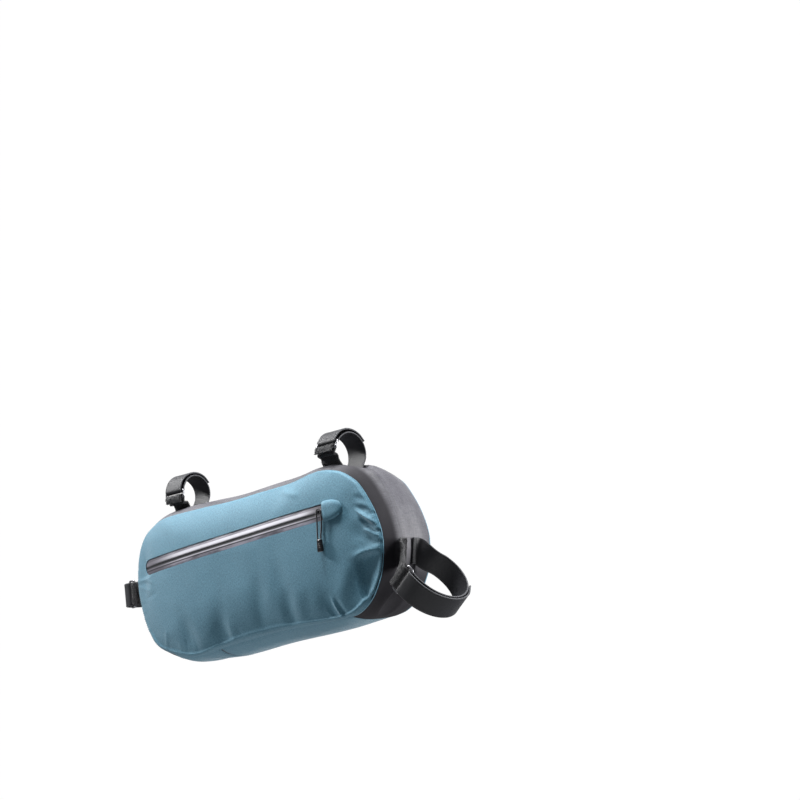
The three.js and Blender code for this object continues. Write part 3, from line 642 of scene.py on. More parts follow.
# %% Gusset finish
def gusset_cloth():
    """Satin in the middle; beside the near seam at the front and below the strap it is rougher, and its
    colour is darkened as painted shade.
    """
    cloth = Finish("gusset_cloth", Specular_IOR_Level=0.32)
    # Painted shade: the colour is darkened below the front strap and beside the near seam at the front; the
    # roughness is raised there too.
    low = 1 - cloth.u.clipped(48, 92)
    from_near = cloth.v + HALF_SEAM
    beside_seam = (1 - from_near.clipped(11, 19)) * (1 - cloth.u.clipped(160, 220))
    dull_and_painted_shade = 1 - (1 - low) * (1 - beside_seam)
    thread = cloth.noise((1.1, 0.12, 1), 2.0, 0.6)
    cross = cloth.noise((0.12, 1.1, 1), 2.0, 0.6)
    patch = cloth.noise((0.03, 0.05, 1), 3.0)
    tone = (thread + cross - 1) * 1.4 + (patch - 0.5) * 0.6 + 0.5
    satin = cloth.mix(tone.clipped(0, 1), (0.052, 0.051, 0.059), (0.100, 0.099, 0.113))
    cloth.feed("Base Color", cloth.mix(dull_and_painted_shade * 0.95, satin, (0.006, 0.005, 0.008)))
    cloth.feed("Roughness", 0.44 + (patch - 0.5) * 0.2 + dull_and_painted_shade * 0.4)
    weave = cloth.wave(cloth.u, 0.7) * cloth.wave(cloth.v, 0.7)
    cloth.bump(weave * 0.3 + patch * 2.0, 0.00012)
    return cloth


FINISHES["gusset"] = gusset_cloth()
print("gusset finish:", FINISHES["gusset"].material.name)

# %% Cores of the strap loops
FRONT_TURN = math.radians(37.5)
# name: point, axis, away from the bag, radius, taper
CORES = {
    "top": ((0, 0, 0), (1, 0, 0), (0, 0, 1), 17.2, 0.0075),
    "rear": ((-HALF_LENGTH - 20, 0, -DROP), (0, 0, 1), (-1, 0, 0), 16.3, 0),
    "front": (
        (HALF_LENGTH + 32.6, 0, -DROP - 48.7),
        (-math.cos(FRONT_TURN), 0, -math.sin(FRONT_TURN)),
        (math.sin(FRONT_TURN), 0, -math.cos(FRONT_TURN)),
        25,
        0,
    ),
}
CORE_CLEARANCE = 4.2
print("cores:", ", ".join(CORES))


def clear_of_cores(points, inward):
    """Moves points inwards until they stand clear of every core."""
    moved = points.copy()
    for point, axis, _, radius, taper in CORES.values():
        axis = np.array(axis, float)
        for _ in range(12):
            offset = moved - np.array(point, float)
            along = offset @ axis
            radial = offset - along[..., None] * axis
            size = np.linalg.norm(radial, axis=-1)
            missing = np.maximum(radius + taper * along + CORE_CLEARANCE - size, 0)
            if missing.max() < 0.001:
                break
            gain = np.maximum(0.4, (unit(radial) * inward).sum(-1))
            moved = moved + inward * (missing / gain)[..., None]
    return moved


# %% Points of the gusset and the bottom
JOINT_GAP = 0.0003
CROSS_RUN = float(np.interp(CROSS_SEAM, SEAM_SHARES, SEAM_RUN))


def band_points(around, across, depth=0.0, fine=True):
    """around: shares round the seam; across: -1 on the near seam to 1 on the far seam."""
    around, across = np.broadcast_arrays(np.asarray(around, float), np.asarray(across, float))
    flat = around.ravel()
    seam = outline(flat)
    step = outline(flat + 2e-4) - outline(flat - 2e-4)
    outward = unit(np.stack([step[:, 1], np.zeros(len(flat)), -step[:, 0]], -1))
    side = across.ravel()
    swell = seam[:, 2] * (1 - np.abs(side) ** 2.6)
    if fine:
        run = np.interp(flat % 1.0, SEAM_SHARES, SEAM_RUN)
        inset = (1 - np.abs(side)) * HALF_SEAM
        pucker = np.sin(run / 2.9) + 0.7 * np.sin(run / 1.7 + 2)
        swell = swell + 0.12 * pucker * np.exp(-inset / 5) * (1 - np.exp(-inset / 1.0))
        swell = swell + 0.35 * np.sin(run / 19 + side * 1.3) * (1 - side**4)
        swell = swell - 0.5 * np.exp(-((inset / 1.2) ** 2))
        swell = swell - 0.9 * np.exp(-(((run - CROSS_RUN) / 1.1) ** 2))
        front = ramp(seam[:, 0], 120, 165)
        swell = swell + front * 1.1 * np.exp(-(((side + 0.22) / 0.2) ** 2))
        swell = swell - front * 1.0 * np.exp(-(((side + 0.72) / 0.22) ** 2))
        swell = swell + front * 0.35 * np.sin(side * 9 + run / 60) * (1 - side**4)
    aside = side * HALF_SEAM + far_out(seam[:, 0]) * np.maximum(0, side) ** 2
    surface = np.stack([seam[:, 0], aside, seam[:, 1] - DROP], -1)
    surface = surface + outward * swell[:, None]
    cleared = clear_of_cores(surface, -outward)
    ease = np.clip((1 - np.abs(side)) / 0.25, 0, 1)[:, None]
    surface = surface + (cleared - surface) * ease
    return (surface - outward * depth).reshape(*around.shape, 3)


def band(name, start, stop, along, across):
    """A stretch of the band between two shares of the seam, with its cells along and across."""
    around = np.linspace(start, stop, along + 1)[:, None]
    side = np.linspace(-1, 1, across + 1)[None, :]
    outer = band_points(around, side)
    inner = band_points(around, side, WALL)
    run = np.interp(around % 1.0, SEAM_SHARES, SEAM_RUN) + 0 * side
    return wall(name, outer, inner, np.stack([run, side * HALF_SEAM + 0 * around], -1))


gusset = band("gusset_band", 0, REAR_JOINT - JOINT_GAP, 460, 36)
wear(gusset, "gusset", "gusset", slot="gusset_cloth")
FINISHES["bottom"] = panel_cloth("bottom_cloth", CROSS_RUN)
bottom = band("bottom_cloth", REAR_JOINT, 1 - JOINT_GAP, 150, 30)
wear(bottom, "bottom", "bottom_panel", slot="panel_cloth")
print("gusset faces", len(gusset.data.polygons), "bottom faces", len(bottom.data.polygons))

# %% [markdown]
# ## Repeats by Geometry Nodes
#
# Stitches and pile are too many to place one by one. A node group takes a bare line or a
# surface, puts one small shape on each of its points and joins them into a plain mesh. Its
# sizes are inputs with names, and so is the seed of the scattered pile, so that it always
# grows the same way.

# %% A node group with named inputs
def start_group(name, inputs):
    """Returns the group and its inputs by name, each ready to be wired."""
    group = bpy.data.node_groups.new(name, "GeometryNodeTree")
    group.interface.new_socket("Geometry", in_out="INPUT", socket_type="NodeSocketGeometry")
    for label, kind in inputs.items():
        group.interface.new_socket(label, in_out="INPUT", socket_type=kind)
    group.interface.new_socket("Geometry", in_out="OUTPUT", socket_type="NodeSocketGeometry")
    start = group.nodes.new("NodeGroupInput")
    return group, {socket.name: Wire(group, socket) for socket in start.outputs if socket.name}


def end_group(group, grown, material):
    """Joins what has grown, gives it its material and sends it out."""
    plain = node(group, "GeometryNodeRealizeInstances", values={"Geometry": grown})
    smooth = node(group, "GeometryNodeSetShadeSmooth", values={"Geometry": plain})
    dressed = node(group, "GeometryNodeSetMaterial", values={"Geometry": smooth, "Material": material})
    end = group.nodes.new("NodeGroupOutput")
    group.links.new(dressed.socket, end.inputs[0])


def grow(base, group, finish, **values):
    """Runs a group on a base object and leaves a plain mesh in its place."""
    growth = base.modifiers.new("growth", "NODES")
    growth.node_group = group
    values["Material"] = FINISHES[finish].material
    for item in group.interface.items_tree:
        if item.in_out == "INPUT" and item.name in values:
            growth[item.identifier] = values[item.name]
    result = bpy.data.meshes.new_from_object(base.evaluated_get(bpy.context.evaluated_depsgraph_get()))
    base.modifiers.clear()
    base.data = result
    return base


# %% Stitches
def stitch_group():
    """A row of stitches along a line, each lying flat on the cloth."""
    group, given = start_group("stitches", {
        "Spacing": "NodeSocketFloat",
        "Length": "NodeSocketFloat",
        "Thickness": "NodeSocketFloat",
        "Material": "NodeSocketMaterial",
    })
    curve = node(group, "GeometryNodeMeshToCurve", values={"Mesh": given["Geometry"]})
    places = node(
        group,
        "GeometryNodeResampleCurve",
        {"mode": "LENGTH"},
        {"Curve": curve, "Length": given["Spacing"]},
    )
    heading = node(group, "GeometryNodeInputTangent")
    face = node(group, "GeometryNodeInputNamedAttribute", {"data_type": "FLOAT_VECTOR"}, {"Name": "face"})
    turned = node(group, "FunctionNodeAlignRotationToVector", {"axis": "X"}, {"Vector": heading})
    flat = node(
        group,
        "FunctionNodeAlignRotationToVector",
        {"axis": "Z", "pivot_axis": "X"},
        {"Rotation": turned, "Vector": face},
    )
    bead = node(group, "GeometryNodeMeshUVSphere", values={"Segments": 6, "Rings": 5, "Radius": 0.5})
    size = node(
        group,
        "ShaderNodeCombineXYZ",
        values={"X": given["Length"], "Y": given["Thickness"], "Z": given["Thickness"]},
    )
    row = node(
        group,
        "GeometryNodeInstanceOnPoints",
        values={"Points": places, "Instance": bead, "Rotation": flat, "Scale": size},
    )
    end_group(group, row, given["Material"])
    return group


STITCHES = stitch_group()
print("node group:", STITCHES.name)


def thread_finish(name, dark, light):
    """Twisted thread: small flecks between a dark and a light tone."""
    thread = Finish(name, Specular_IOR_Level=0.3, Sheen_Weight=0.2)
    ply = thread.noise((2600, 2600, 2600), 2.0, where=thread.object)
    thread.feed("Base Color", thread.mix(ply.clipped(0.35, 0.65), dark, light))
    thread.feed("Roughness", 0.6 + ply * 0.2)
    thread.bump(ply, 0.00006)
    return thread


FINISHES["blue_thread"] = thread_finish("blue_thread", (0.05, 0.13, 0.18), (0.16, 0.30, 0.37))
FINISHES["black_thread"] = thread_finish("black_thread", (0.008, 0.008, 0.010), (0.05, 0.05, 0.055))


def stitches(name, rows, finish, slot, spacing=2.8, length=2.0, thick=0.55):
    """rows: pairs of points and face directions along the cloth, in the bag's frame, in mm."""
    points, edges, faces = [], [], []
    for line, face in rows:
        first = len(points)
        line = place(line)
        towards = place(face) * 1000
        points += [tuple(p) for p in line]
        faces.append(towards)
        edges += [(first + k, first + k + 1) for k in range(len(line) - 1)]
    mesh = bpy.data.meshes.new(name)
    mesh.from_pydata(points, edges, [])
    attribute = mesh.attributes.new("face", "FLOAT_VECTOR", "POINT")
    attribute.data.foreach_set("vector", np.concatenate(faces).ravel())
    base = bpy.data.objects.new(name, mesh)
    bpy.context.scene.collection.objects.link(base)
    sizes = {"Spacing": spacing / 1000, "Length": length / 1000, "Thickness": thick / 1000}
    return wear(grow(base, STITCHES, finish, **sizes), finish, slot=slot)


# %% Rows of stitches on the pouch
def panel_row(near, inset):
    """A row just inside a panel's seam, with the directions that face away from the pouch."""
    sign = -1 if near else 1
    shares = np.linspace(0, 1, 721)
    x, z, _ = outline(shares).T
    scale = 1 - inset / np.hypot(x, z)
    x, z = x * scale, z * scale
    out = panel_out(x, z - DROP, near=near)
    face = np.stack([0.25 * x / HALF_LENGTH, sign + 0 * x, 0.5 * z / HALF_HEIGHT], -1)
    return np.stack([x, sign * (out + 0.1), z - DROP], -1), unit(face)


def joint_rows(around, offsets):
    """Rows across the bottom, beside a joint."""
    rows = []
    for offset in offsets:
        across = np.linspace(-0.96, 0.96, 61)
        line = band_points(around + offset / SEAM_RUN[-1], across)
        out = unit(line - band_points(around + offset / SEAM_RUN[-1], across, 1.0))
        rows.append((line + out * 0.1, out))
    return rows


stitches("near_seam_stitches", [panel_row(True, 2.6)], "blue_thread", "panel_cloth", 2.4, 1.6, 0.45)
stitches("far_seam_stitches", [panel_row(False, 2.6)], "blue_thread", "panel_cloth", 2.4, 1.6, 0.45)
cross_rows = joint_rows(CROSS_SEAM, (-1.8, 1.8)) + joint_rows(REAR_JOINT, (1.6,)) + joint_rows(0, (-1.6,))
stitches("bottom_stitches", cross_rows, "blue_thread", "panel_cloth", 2.4, 1.7, 0.45)

# %% [markdown]
# ## Zip
#
# This is a laminated zip: two glossy tapes of film meet over a hidden coil. Each film is
# slightly blotched by the weld, and rises to a thin bead beside the coil. The bright and dark
# lines that run along real film are painted in its colour, a painted highlight and painted
# shade with dark reflections, so that they stay where the photograph has them. Towards both
# ends and along its outer edge the film is darker. The coil itself shows only as a dark,
# finely ribbed line.

# %% Film and coil finishes
def zip_film(name, dark, light, seed, lit_line, dark_lines):
    """lit_line and dark_lines: start and end, in mm from the zip's middle, of lines along it: a painted
    highlight, and painted shade with dark reflections.
    """
    film = Finish(name, Specular_IOR_Level=0.6, Coat_Roughness=0.2)
    shifted = film.node("ShaderNodeVectorMath", {"operation": "ADD"}, {0: film.flat, 1: (seed, seed, 0)})
    streak = film.noise((0.02, 1.9, 1), 3.0, 0.6, where=shifted)
    blotch = film.noise((0.05, 0.16, 1), 3.0, 0.6, where=shifted)
    away = film.v.size()

    def between(line):
        start, stop = line
        return away.clipped(start - 0.5, start + 0.4) * (1 - away.clipped(stop - 0.5, stop + 0.5))

    ends = film.u.clipped(12, 50) * (1 - film.u.clipped(228, 294) * 0.72)
    edge = 1 - away.clipped(7.2, 7.8) * 0.6
    shade = (streak * 0.55 + blotch * 0.45).clipped(0.36, 0.64)
    colour = film.mix(shade, dark, light)
    # Painted highlight: a bright line along the film, fainter towards its ends.
    colour = film.mix(between(lit_line) * ends * 0.8, colour, (0.74, 0.73, 0.79))
    # Darker towards both ends and along the outer edge.
    colour = film.mix(1 - ends * edge, colour, (0.06, 0.055, 0.068))
    # Painted shade and painted dark reflections: dark lines along the film.
    for line in dark_lines:
        colour = film.mix(between(line), colour, (0.012, 0.012, 0.016))
    film.feed("Base Color", colour)
    film.feed("Roughness", 0.3 + streak * 0.2)
    film.feed("Coat Weight", blotch.clipped(0.35, 0.65) * 0.5)
    film.bump(streak + blotch, 0.00012)
    return film


# The last two arguments place the painted highlight and the painted dark lines.
FINISHES["film_upper"] = zip_film(
    "film_upper", (0.12, 0.11, 0.135), (0.33, 0.31, 0.36), 3, (1.4, 4.7), [(0.6, 1.0)]
)
FINISHES["film_lower"] = zip_film(
    "film_lower", (0.085, 0.078, 0.095), (0.36, 0.34, 0.40), 41, (2.6, 3.2), [(0.6, 2.2), (3.7, 4.7)]
)


def dark_coil():
    coil = Finish("dark_coil", Specular_IOR_Level=0.3)
    tooth = coil.wave(coil.u, 1.5) * 0.5 + 0.5
    coil.feed("Base Color", coil.mix(tooth, (0.006, 0.006, 0.008), (0.022, 0.022, 0.026)))
    coil.feed("Roughness", 0.45 + tooth * 0.3)
    coil.bump(tooth, 0.0003)
    return coil


FINISHES["coil"] = dark_coil()
print("finishes:", len(FINISHES))

# %% Films and coil
def zip_reach(from_rear):
    """Half the zip's width at a distance from its round rear end."""
    reach = ZIP_HALF - 0.15
    short = np.maximum(0, ZIP_HALF - from_rear)
    return np.sqrt(np.maximum(0, reach**2 - short**2))


def zip_strip(name, columns_at, side, steps=300, thick=0.8):
    """A strip along the zip; columns_at gives its places across and their lift off the panel."""
    from_rear = 0.35 + (ZIP_LENGTH - 0.7) * np.linspace(0, 1, steps + 1) ** 1.25
    away, lift = columns_at(from_rear)
    run = (ZIP_LENGTH - from_rear)[:, None] + 0 * away
    outer = on_panel(run, side * away, lift)
    inner = on_panel(run, side * away, lift - thick)
    return wall(name, outer, inner, np.stack([run, side * away], -1))


COIL_HALF = 0.75
FILM_START = COIL_HALF + 0.15
SHARES = np.linspace(0, 1, 13)


def film_columns(from_rear):
    reach = np.maximum(zip_reach(from_rear), FILM_START + 0.3)[:, None]
    away = FILM_START + (reach - FILM_START) * SHARES
    bead = 0.12 * np.exp(-(((away - FILM_START - 1.5) / 1.0) ** 2)) * ramp(from_rear, 0, 6)[:, None]
    return away, -0.55 + bead - 0.25 * ramp(away, 5, 8)


def coil_columns(from_rear):
    away = np.linspace(-COIL_HALF, COIL_HALF, 5) + 0 * from_rear[:, None]
    return away, -0.75 + 0.25 * (1 - (away / COIL_HALF) ** 2)


film_upper = wear(zip_strip("film_upper", film_columns, 1), "film_upper", "zip_film_upper", slot="zip_film")
film_lower = wear(zip_strip("film_lower", film_columns, -1), "film_lower", "zip_film_lower", slot="zip_film")
coil = wear(zip_strip("coil_line", coil_columns, 1, 400), "coil", "zip_coil", slot="zip_coil")
print("zip pieces:", film_upper.name, film_lower.name, coil.name)

# %% [markdown]
# ## Zip garage
#
# The slider parks under a small moulded dome covered with the panel's own cloth. It is a
# half-round tab with its mouth towards the rear.

# %% Garage
# GARAGE_MOUTH is how far the mouth lies behind the zip's front end, in mm
GARAGE_MOUTH = 16
GARAGE_LENGTH = 22
GARAGE_HALF = 10
GARAGE_RISE = 2.6


def garage(steps=40, columns=44):
    share = np.sin(np.linspace(0, 1, steps + 1) * (math.pi / 2) * 0.995)[:, None]
    across = -np.cos(np.linspace(0, math.pi, columns + 1))[None, :]
    ahead = GARAGE_MOUTH - share * GARAGE_LENGTH
    half = GARAGE_HALF * np.sqrt(1 - share**3)
    dome = GARAGE_RISE * np.sqrt(1 - share**4) * (1 - across**4) ** 0.8
    dome = dome - 0.5 * np.exp(-(((share * GARAGE_LENGTH) / 1.2) ** 2)) * (1 - across**4)
    lift = 0.3 + 1.2 + dome
    outer = on_panel(ahead + 0 * across, across * half, lift)
    inner = on_panel(ahead + 0 * across, across * half * 0.97, lift - 1.0)
    return wall("garage", outer, inner, np.stack([ahead + 0 * across, across * half], -1))


garage_piece = wear(garage(), "panel", "zip_garage", slot="panel_cloth")
print("garage faces", len(garage_piece.data.polygons))

# %% [markdown]
# ## Pull cord
#
# A thin braided cord hangs from the slider's post and both its ends go into a moulded end.
# It is one tube along a smooth line through listed points, the same ones as in the CAD
# part. The braid is a bump that crosses two slanted waves on the tube's own UV map. The
# slider is small and hard: it keeps the CAD part's shape and only gets the moulded finish.

# %% Cord finish
def braid():
    cord = Finish("braided_cord", Specular_IOR_Level=0.3, Sheen_Weight=0.3)
    left = (cord.u * (2 * math.pi / 1.6) + cord.v * 2).sine()
    right_hand = (cord.u * (2 * math.pi / 1.6) - cord.v * 2).sine()
    strands = left * right_hand * 0.5 + 0.5
    cord.feed("Base Color", cord.mix(strands, (0.006, 0.006, 0.008), (0.030, 0.030, 0.036)))
    cord.feed("Roughness", 0.75 + strands * 0.1)
    cord.bump(strands, 0.00012)
    return cord


FINISHES["cord"] = braid()
print("cord finish:", FINISHES["cord"].material.name)

# %% A tube along a path
def sections_mesh(name, points, uv, caps=True):
    """A closed body from rings of points: (stations, points of the ring, 3), in the bag's frame."""
    rows, columns = points.shape[:2]
    number = np.arange(rows * columns).reshape(rows, columns)
    faces = []
    for i in range(rows - 1):
        for j in range(columns):
            k = (j + 1) % columns
            faces.append((number[i, j], number[i + 1, j], number[i + 1, k], number[i, k]))
    if caps:
        faces.append(tuple(number[0]))
        faces.append(tuple(number[-1][::-1]))
    piece = finish_mesh(name, place(points.reshape(-1, 3)), faces, uv.reshape(-1, 2))
    return normals_out(piece)


def tube(name, line, radius, sides=12):
    """A round tube along a line of points; its ring starts towards the pouch's far side."""
    heading = unit(np.gradient(line, axis=0))
    first = np.array((0.0, 1.0, 0.0))
    rings = []
    turn = np.linspace(0, 2 * math.pi, sides, endpoint=False)
    for point, ahead in zip(line, heading):
        first = unit(first - (first @ ahead) * ahead)
        second = np.cross(ahead, first)
        rings.append(point + radius * (np.cos(turn)[:, None] * first + np.sin(turn)[:, None] * second))
    run = np.concatenate([[0], np.cumsum(np.linalg.norm(np.diff(line, axis=0), axis=1))])
    uv = np.stack([run[:, None] + 0 * turn, turn + 0 * run[:, None]], -1)
    return sections_mesh(name, np.array(rings), uv)


CORD_WIDTH = 1.5
# x, y, z in the bag's frame, in mm
CORD_POINTS = [
    (114.0, -43.6, -83.6), (113.8, -43.4, -80.0), (113.8, -43.1, -76.0), (114.0, -42.9, -72.0),
    (114.3, -42.8, -68.0), (114.6, -42.8, -64.0), (114.8, -42.9, -60.6), (115.0, -43.0, -57.6),
    (116.2, -43.0, -55.5), (118.0, -43.0, -54.9), (119.8, -43.0, -55.5), (121.0, -43.0, -57.6),
    (121.1, -42.9, -60.6), (120.9, -42.8, -64.0), (120.5, -42.8, -68.0), (120.0, -42.9, -72.0),
    (119.3, -43.1, -76.0), (118.6, -43.4, -80.0), (118.2, -43.6, -83.6),
]
cord_line = smooth_line(CORD_POINTS, np.linspace(0, 1, 181), centripetal=True)
cord_length = float(np.linalg.norm(np.diff(place(cord_line), axis=0), axis=1).sum())
print("pull cord length", round(cord_length * 1000, 1), "mm")

# %% Moulded pull end
def moulded():
    plastic = Finish("moulded_black", Specular_IOR_Level=0.4)
    grain = plastic.noise((1500, 1500, 1500), 2.0, where=plastic.object)
    plastic.feed("Base Color", plastic.mix(grain, (0.004, 0.004, 0.005), (0.010, 0.010, 0.012)))
    plastic.feed("Roughness", 0.22 + grain * 0.16)
    plastic.bump(grain, 0.00005)
    return plastic


FINISHES["moulded"] = moulded()


def pull_end():
    """A flat tapered tab with rounded edges and three grip ribs."""
    top = (np.array(CORD_POINTS[0]) + np.array(CORD_POINTS[-1])) / 2 - (0, 0, 0.25)
    down = np.concatenate([[0, 0.15, 0.5], np.linspace(0.9, 11.2, 44), [11.6, 11.9, 12.0]])
    ease = np.minimum(1, np.minimum(down / 0.9, (12.0 - down) / 1.2))
    ease = np.sqrt(np.maximum(0, 1 - (1 - ease) ** 2))
    wide = (2.9 + 0.55 * down / 12) * (0.72 + 0.28 * ease)
    rib = 0.22 * np.maximum(0, np.sin((down - 4.2) / 5.6 * 3 * 2 * math.pi)) * ((down > 4.2) & (down < 9.8))
    thick = (1.75 + 0.2 * ease - 0.2 + rib) * (0.55 + 0.45 * ease)
    turn = np.linspace(0, 2 * math.pi, 32, endpoint=False)
    square = (np.abs(np.cos(turn)) ** 4 + np.abs(np.sin(turn)) ** 4) ** -0.25
    x = wide[:, None] * np.cos(turn) * square
    y = thick[:, None] * np.sin(turn) * square
    z = -down[:, None] + 0 * x
    points = np.stack([x, y, z], -1) + top
    return sections_mesh("pull_tab", points, np.stack([down[:, None] + 0 * x, turn + 0 * x], -1))


pull_tab = wear(pull_end(), "moulded", "zip_pull_end", slot="black_plastic")
pull_cord = wear(tube("pull_cord", cord_line, CORD_WIDTH / 2), "cord", "zip_pull_cord", slot="black_cord")
tuple(place(cord_line[0]))
[tuple(p) for p in place(cord_line)]
print("pull end and cord:", pull_tab.name, pull_cord.name)

# %% Slider
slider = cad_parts["zip_slider"]
slider.data.materials.clear()
slider.data.materials.append(FINISHES["moulded"].material)
print("slider keeps its CAD shape:", slider.name)

# %% [markdown]
# ## Straps
#
# Each strap is in two parts. A short fuzzy webbing is sewn to the gusset and holds a wire
# ring. A smooth band comes from the far side, goes round the core and through the ring, and
# is folded back over itself, where its hooks hold. Both are ribbons along a smooth path.

# %% Strap paths
STRAP_WIDTH = 25
BAND = 1.8
WEBBING = 2.2
RING_WIRE = 2.2
RING_SPAN = 7.8
BAR_TURN = RING_WIRE / 2 + 0.45
BAND_TURN = BAR_TURN + BAND / 2
WEBBING_TURN = BAR_TURN + WEBBING / 2
FOOT_SHARES = (0.45, 0.72, 1)

# name: core, place along it as a share of the bag's half length, angles of the ring and of the
# band's end, how far the loop bulges towards the bag, sideways and away, foot's share of the gusset
STRAPS = {
    "upper_rear": ("top", -0.65, 96, 252, 0, 0, 0, 0.386),
    "upper_front": ("top", 0.628, 120, 250, 0, 0, 0, 0.386),
    "rear": ("rear", -0.011, 94, 246, 0, 0.06, 0.14, 0.386),
    "front": ("front", 0, 92, 240, 0.52, 0.26, 0, 0.351),
}


class Loop:
    """The loop of one strap round its core."""

    def __init__(self, name):
        core_name, along, self.ring, self.end, bag, side, away, self.foot = STRAPS[name]
        point, axis, off, radius, taper = CORES[core_name]
        self.axis = np.array(axis, float)
        self.off = np.array(off, float)
        self.near = np.cross(self.axis, self.off)
        along = along * HALF_LENGTH
        self.centre = np.array(point, float) + self.axis * along
        base = radius + taper * along + 0.5 + BAND / 2
        self.side = base + side * STRAP_WIDTH
        self.tall = base + (away + bag) * STRAP_WIDTH / 2
        self.middle = (away - bag) * STRAP_WIDTH / 2
        self.walk = self.find_walk()

    def at(self, degrees, lift=0.0, ahead=0.0):
        """A place on the loop: degrees from the bag's side round by the near side, lift outwards
        and ahead along the loop."""
        turn = math.radians(degrees)
        run_n = self.side * math.cos(turn)
        run_u = self.tall * math.sin(turn)
        size = math.hypot(run_n, run_u)
        n = self.side * math.sin(turn) + (lift * run_u + ahead * run_n) / size
        u = self.middle - self.tall * math.cos(turn) + (-lift * run_n + ahead * run_u) / size
        return self.centre + self.near * n + self.off * u

    def find_walk(self):
        """Where round the seam the gusset meets this strap."""
        around = np.linspace(0, REAR_JOINT, 601)
        offset = band_points(around, 0.0, fine=False) - self.centre
        aside = offset @ self.axis
        distance = np.linalg.norm(offset - aside[:, None] * self.axis, axis=1)
        return around[np.argmin(np.abs(aside) + 0.3 * distance)]

    def run(self, share):
        """The gusset's own direction under the foot, and its length for one walk."""
        two = band_points(self.walk + np.array([-0.004, 0.004]), share, fine=False)
        ahead = two[1] - two[0]
        per_walk = np.linalg.norm(ahead) / 0.008
        return unit(ahead if ahead @ self.axis >= 0 else -ahead), per_walk

    def foot_points(self, side, thickness):
        """The flat foot on the gusset: side is -1 for the near foot and 1 for the far one."""
        points = []
        for part in FOOT_SHARES:
            share = side * self.foot * part
            heading, per_walk = self.run(share)
            two = band_points(self.walk, share + np.array([-0.03, 0.03]), fine=False)
            middle = band_points(self.walk, share, fine=False)
            normal = unit(np.cross(two[1] - two[0], heading))
            if normal @ (self.centre - middle) < 0:
                normal = -normal
            beside = np.array([-0.5, -0.3, -0.15, 0.15, 0.3, 0.5]) * STRAP_WIDTH / per_walk
            around = band_points(self.walk + beside, share, fine=False) - middle
            proud = max(0.0, (around @ normal).max())
            points.append(middle + normal * (proud + thickness / 2 + 0.15))
        return points

    def start(self, foot):
        """The angle at which the loop begins, just past its foot."""
        offset = foot - self.centre
        return math.degrees(math.atan2(abs(offset @ self.near), -(offset @ self.off))) + 20

    def webbing_points(self):
        """From the near foot up to the ring, round its lower bar and back."""
        points = self.foot_points(-1, WEBBING)
        turn = self.start(points[-1])
        while turn < self.ring - 34:
            points.append(self.at(turn, 0.1))
            turn += 18
        w = WEBBING_TURN
        for lift, ahead in (
            (BAND_TURN - w, -RING_SPAN - 5),
            (BAND_TURN - w, -RING_SPAN),
            (BAND_TURN - w * 0.7, -RING_SPAN + w * 0.7),
            (BAND_TURN, -RING_SPAN + w),
            (BAND_TURN + w * 0.7, -RING_SPAN + w * 0.7),
            (BAND_TURN + w, -RING_SPAN),
            (BAND_TURN + w * 0.6, -RING_SPAN - 5),
        ):
            points.append(self.at(self.ring, lift, ahead))
        return points

    def band_path(self):
        """From the far foot round the core, through the ring and back over itself."""
        points = self.foot_points(1, BAND)
        turn = 360 - self.start(points[-1])
        while turn > self.ring + 12:
            points.append(self.at(turn))
            turn -= 24
        b = BAND_TURN
        points.append(self.at(self.ring, 0, 3))
        points.append(self.at(self.ring))
        for lift, ahead in ((0.3, -0.7), (1, -1), (1.7, -0.7), (2, 0)):
            points.append(self.at(self.ring, b * lift, b * ahead))
        turn = self.ring + 24
        while turn <= self.end:
            close = float(ramp(turn, self.ring, self.ring + 90))
            points.append(self.at(turn, b * 2 + (BAND + 1 - b * 2) * close))
            turn += 24
        return points


# %% A ribbon along a path
def stations(points, first_across, last_across, blend_end, detail=8):
    """Places, width directions and face directions along a smooth line."""
    count = (len(points) - 1) * detail
    shares = np.linspace(0, 1, count + 1)
    line = smooth_line(points, shares, centripetal=True)
    heading = unit(np.gradient(line, axis=0))
    foot = (len(FOOT_SHARES) - 1) / (len(points) - 1)
    blend = ramp(shares, foot, blend_end)[:, None]
    across = first_across * (1 - blend) + last_across * blend
    across = unit(across - (across * heading).sum(1, keepdims=True) * heading)
    return line, across, unit(np.cross(heading, across))


def ribbon(name, path, width, thick, edge=0.0):
    """A flat strap with round edges; edge raises a thin selvage along both sides."""
    line, across, face = path
    half = width / 2 - thick / 2
    side = np.linspace(-half, half, 15)
    lift = thick / 2 + edge * np.exp(-(((half - np.abs(side)) / 0.9) ** 2))
    turn = np.linspace(math.pi / 2, -math.pi / 2, 7)[1:-1]
    v = np.concatenate([side, half + thick / 2 * np.cos(turn), side[::-1], -half - thick / 2 * np.cos(turn)])
    w = np.concatenate([lift, thick / 2 * np.sin(turn), -lift[::-1], -thick / 2 * np.sin(turn)])
    points = line[:, None] + across[:, None] * v[None, :, None] + face[:, None] * w[None, :, None]
    run = np.concatenate([[0], np.cumsum(np.linalg.norm(np.diff(line, axis=0), axis=1))])
    uv = np.stack([run[:, None] + 0 * v, v + 0 * run[:, None]], -1)
    return sections_mesh(name, points, uv)


